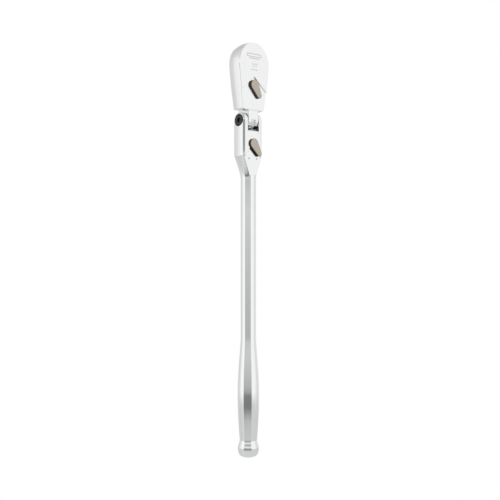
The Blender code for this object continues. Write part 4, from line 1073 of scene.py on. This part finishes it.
def light_level(tree, direction):
    """Brightness of the studio in a direction, by its bearing round the tool and its height."""
    back = (-sin(VIEW_ANGLE), -cos(VIEW_ANGLE), 0)
    right = (cos(VIEW_ANGLE), -sin(VIEW_ANGLE), 0)
    parts = []
    for k, axis in enumerate((right, back, (0, 0, 1))):
        node = add(tree, "ShaderNodeVectorMath", (-1500, 300 - 200 * k), operation="DOT_PRODUCT")
        node.inputs[1].default_value = axis
        tree.links.new(direction, node.inputs[0])
        parts.append(node.outputs["Value"])
    across, behind, up = parts
    bearing = math(tree, "ARCTAN2", across, behind, (-1300, 300))
    turn = math(tree, "ADD", math(tree, "DIVIDE", bearing, 2 * pi, (-1150, 300)), 0.5, (-1000, 300))
    ring_values = ramp(tree, turn, WALL_LEVELS, (-800, 400))
    panel = remap(tree, bearing, radians(PANEL_EDGES[0] - 5), radians(PANEL_EDGES[0] + 5), (-800, 150))
    panel_end = remap(tree, bearing, radians(PANEL_EDGES[1] - 5), radians(PANEL_EDGES[1] + 5), (-800, 0), 1, 0)
    panel = math(tree, "MULTIPLY", panel, panel_end, (-600, 80))
    height = remap(tree, up, -1, 1, (-1150, -200), smooth=False)
    panel_values = ramp(tree, height, PANEL_LEVELS, (-800, -250))
    over = remap(tree, up, sin(radians(22)), sin(radians(38)), (-800, -500))
    ceiling = ramp(tree, turn, CEILING_LEVELS, (-800, -650))
    walls = blend_values(tree, over, ring_values, ceiling, (-400, 200))
    under = remap(tree, up, sin(radians(-8.5)), sin(radians(-13.5)), (-800, -900))
    floor = ramp(tree, turn, FLOOR_LEVELS, (-800, -1100))
    walls = blend_values(tree, under, walls, floor, (-200, 200))
    return blend_values(tree, panel, walls, panel_values, (0, 200))


def blend_values(tree, mask, first, second, at):
    node = add(tree, "ShaderNodeMix", at, data_type="FLOAT")
    for value, index in ((mask, 0), (first, 2), (second, 3)):
        tree.links.new(value, node.inputs[index])
    return node.outputs[0]


def ramp(tree, value, stops, at):
    """A grey ramp through (position, brightness) stops."""
    node = add(tree, "ShaderNodeValToRGB", at)
    elements = node.color_ramp.elements
    while len(elements) > 1:
        elements.remove(elements[-1])
    elements[0].position = stops[0][0]
    elements[0].color = (stops[0][1],) * 3 + (1,)
    for position, level in stops[1:]:
        elements.new(position).color = (level,) * 3 + (1,)
    tree.links.new(value, node.inputs[0])
    return node.outputs["Color"]


def around(*stops):
    """Stops given as (degrees to the lens's right, brightness), for a ramp over the full circle."""
    return [((degrees + 180) / 360, level) for degrees, level in stops]


def by_height(*stops):
    """Stops given as (degrees above the lens, brightness), for a ramp over the sine of that angle."""
    return [((sin(radians(degrees)) + 1) / 2, level) for degrees, level in stops]


WALL_LEVELS = around((-180, 0.9), (-150, 0.72), (-126, 0.66), (-110, 0.72), (-99, 0.82), (-78, 0.96),
                     (-58, 1.0), (-40, 1.0), (30, 0.95),
                     (50, 0.94), (66, 0.94), (82, 0.92), (104, 0.72), (133, 0.78),
                     (160, 0.85), (180, 0.9))
PANEL_EDGES = (-52, 36)
PANEL_LEVELS = by_height((-24, 0.64), (-18, 0.5), (-14, 0.2), (-10, 0.22), (-8, 0.4), (-6, 0.46), (-3.4, 0.5),
                         (0, 0.56), (3, 0.63), (5.5, 0.5), (7.5, 0.32), (9.5, 0.32), (11, 0.9), (16, 0.93),
                         (22, 0.5), (38, 0.45))
CEILING_LEVELS = around((-180, 0.62), (-140, 0.55), (-100, 0.7), (-60, 0.88), (-45, 0.45), (30, 0.45),
                        (45, 0.88), (90, 0.9), (140, 0.7), (180, 0.62))
FLOOR_LEVELS = around((-180, 0.66), (-90, 0.62), (-60, 0.7), (0, 0.64), (60, 0.64), (120, 0.62), (180, 0.66))


def make_studio():
    world = bpy.data.worlds.new("white_studio")
    bpy.context.scene.world = world
    world.use_nodes = True
    tree = world.node_tree
    backdrop = tree.nodes["Background"]
    backdrop.inputs["Color"].default_value = (1, 1, 1, 1)
    place = add(tree, "ShaderNodeTexCoord", (-1800, 0))
    level = light_level(tree, place.outputs["Generated"])
    reflected = add(tree, "ShaderNodeBackground", (300, -100))
    tree.links.new(level, reflected.inputs["Color"])
    path = add(tree, "ShaderNodeLightPath", (100, 400))
    choose = add(tree, "ShaderNodeMixShader", (600, 100))
    tree.links.new(path.outputs["Is Camera Ray"], choose.inputs[0])
    tree.links.new(reflected.outputs[0], choose.inputs[1])
    tree.links.new(backdrop.outputs[0], choose.inputs[2])
    tree.links.new(choose.outputs[0], tree.nodes["World Output"].inputs["Surface"])
    floor_material, floor_tree, shader = new_finish("pale_floor")
    shader.inputs["Base Color"].default_value = (0.0, 0.0, 0.0, 1)
    shader.inputs["Roughness"].default_value = 1.0
    shader.inputs["Specular IOR Level"].default_value = 0.0
    shader.inputs["Emission Color"].default_value = (1, 1, 1, 1)
    shader.inputs["Emission Strength"].default_value = 1.0
    bm = bmesh.new()
    bmesh.ops.create_grid(bm, x_segments=1, y_segments=1, size=6)
    bmesh.ops.translate(bm, verts=bm.verts, vec=(0, 0, HANDLE_END - 0.25))
    floor = solid("floor", bm)
    floor.data.materials.append(floor_material)
    floor.visible_glossy = False
    floor.visible_diffuse = False


def make_camera():
    lens = bpy.data.cameras.new("lens")
    lens.sensor_width = 36
    lens.lens = 59.8
    lens.clip_start = 0.01
    lens.clip_end = 50
    camera = bpy.data.objects.new("lens", lens)
    bpy.context.scene.collection.objects.link(camera)
    ahead = Vector((sin(VIEW_ANGLE), cos(VIEW_ANGLE), 0))
    right = Vector((cos(VIEW_ANGLE), -sin(VIEW_ANGLE), 0))
    camera.location = tool_point(0, 0, LENS_HEIGHT) - ahead * TOOL_TO_LENS + right * LENS_ASIDE
    camera.rotation_euler = (radians(90), 0, -VIEW_ANGLE)
    bpy.context.scene.camera = camera


def dress_inner_nodes():
    """The working pieces inside the head and yoke keep their CAD shape and get their real finish."""
    wires = {"anvil_spring", "pawl_spring_left", "pawl_spring_right", "reverse_clip", "detent_spring",
             "lock_spring"}
    for name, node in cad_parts.items():
        if node.hide_render:
            continue
        node.data.materials.clear()
        node.data.materials.append(spring_wire if name in wires else gear_steel)


bpy.context.scene.view_settings.view_transform = "Standard"
bpy.context.scene.view_settings.look = "None"
make_camera()
make_studio()
make_handle()
make_head()
make_cover()
make_drive()
make_levers()
make_flex()
make_marks()
dress_inner_nodes()
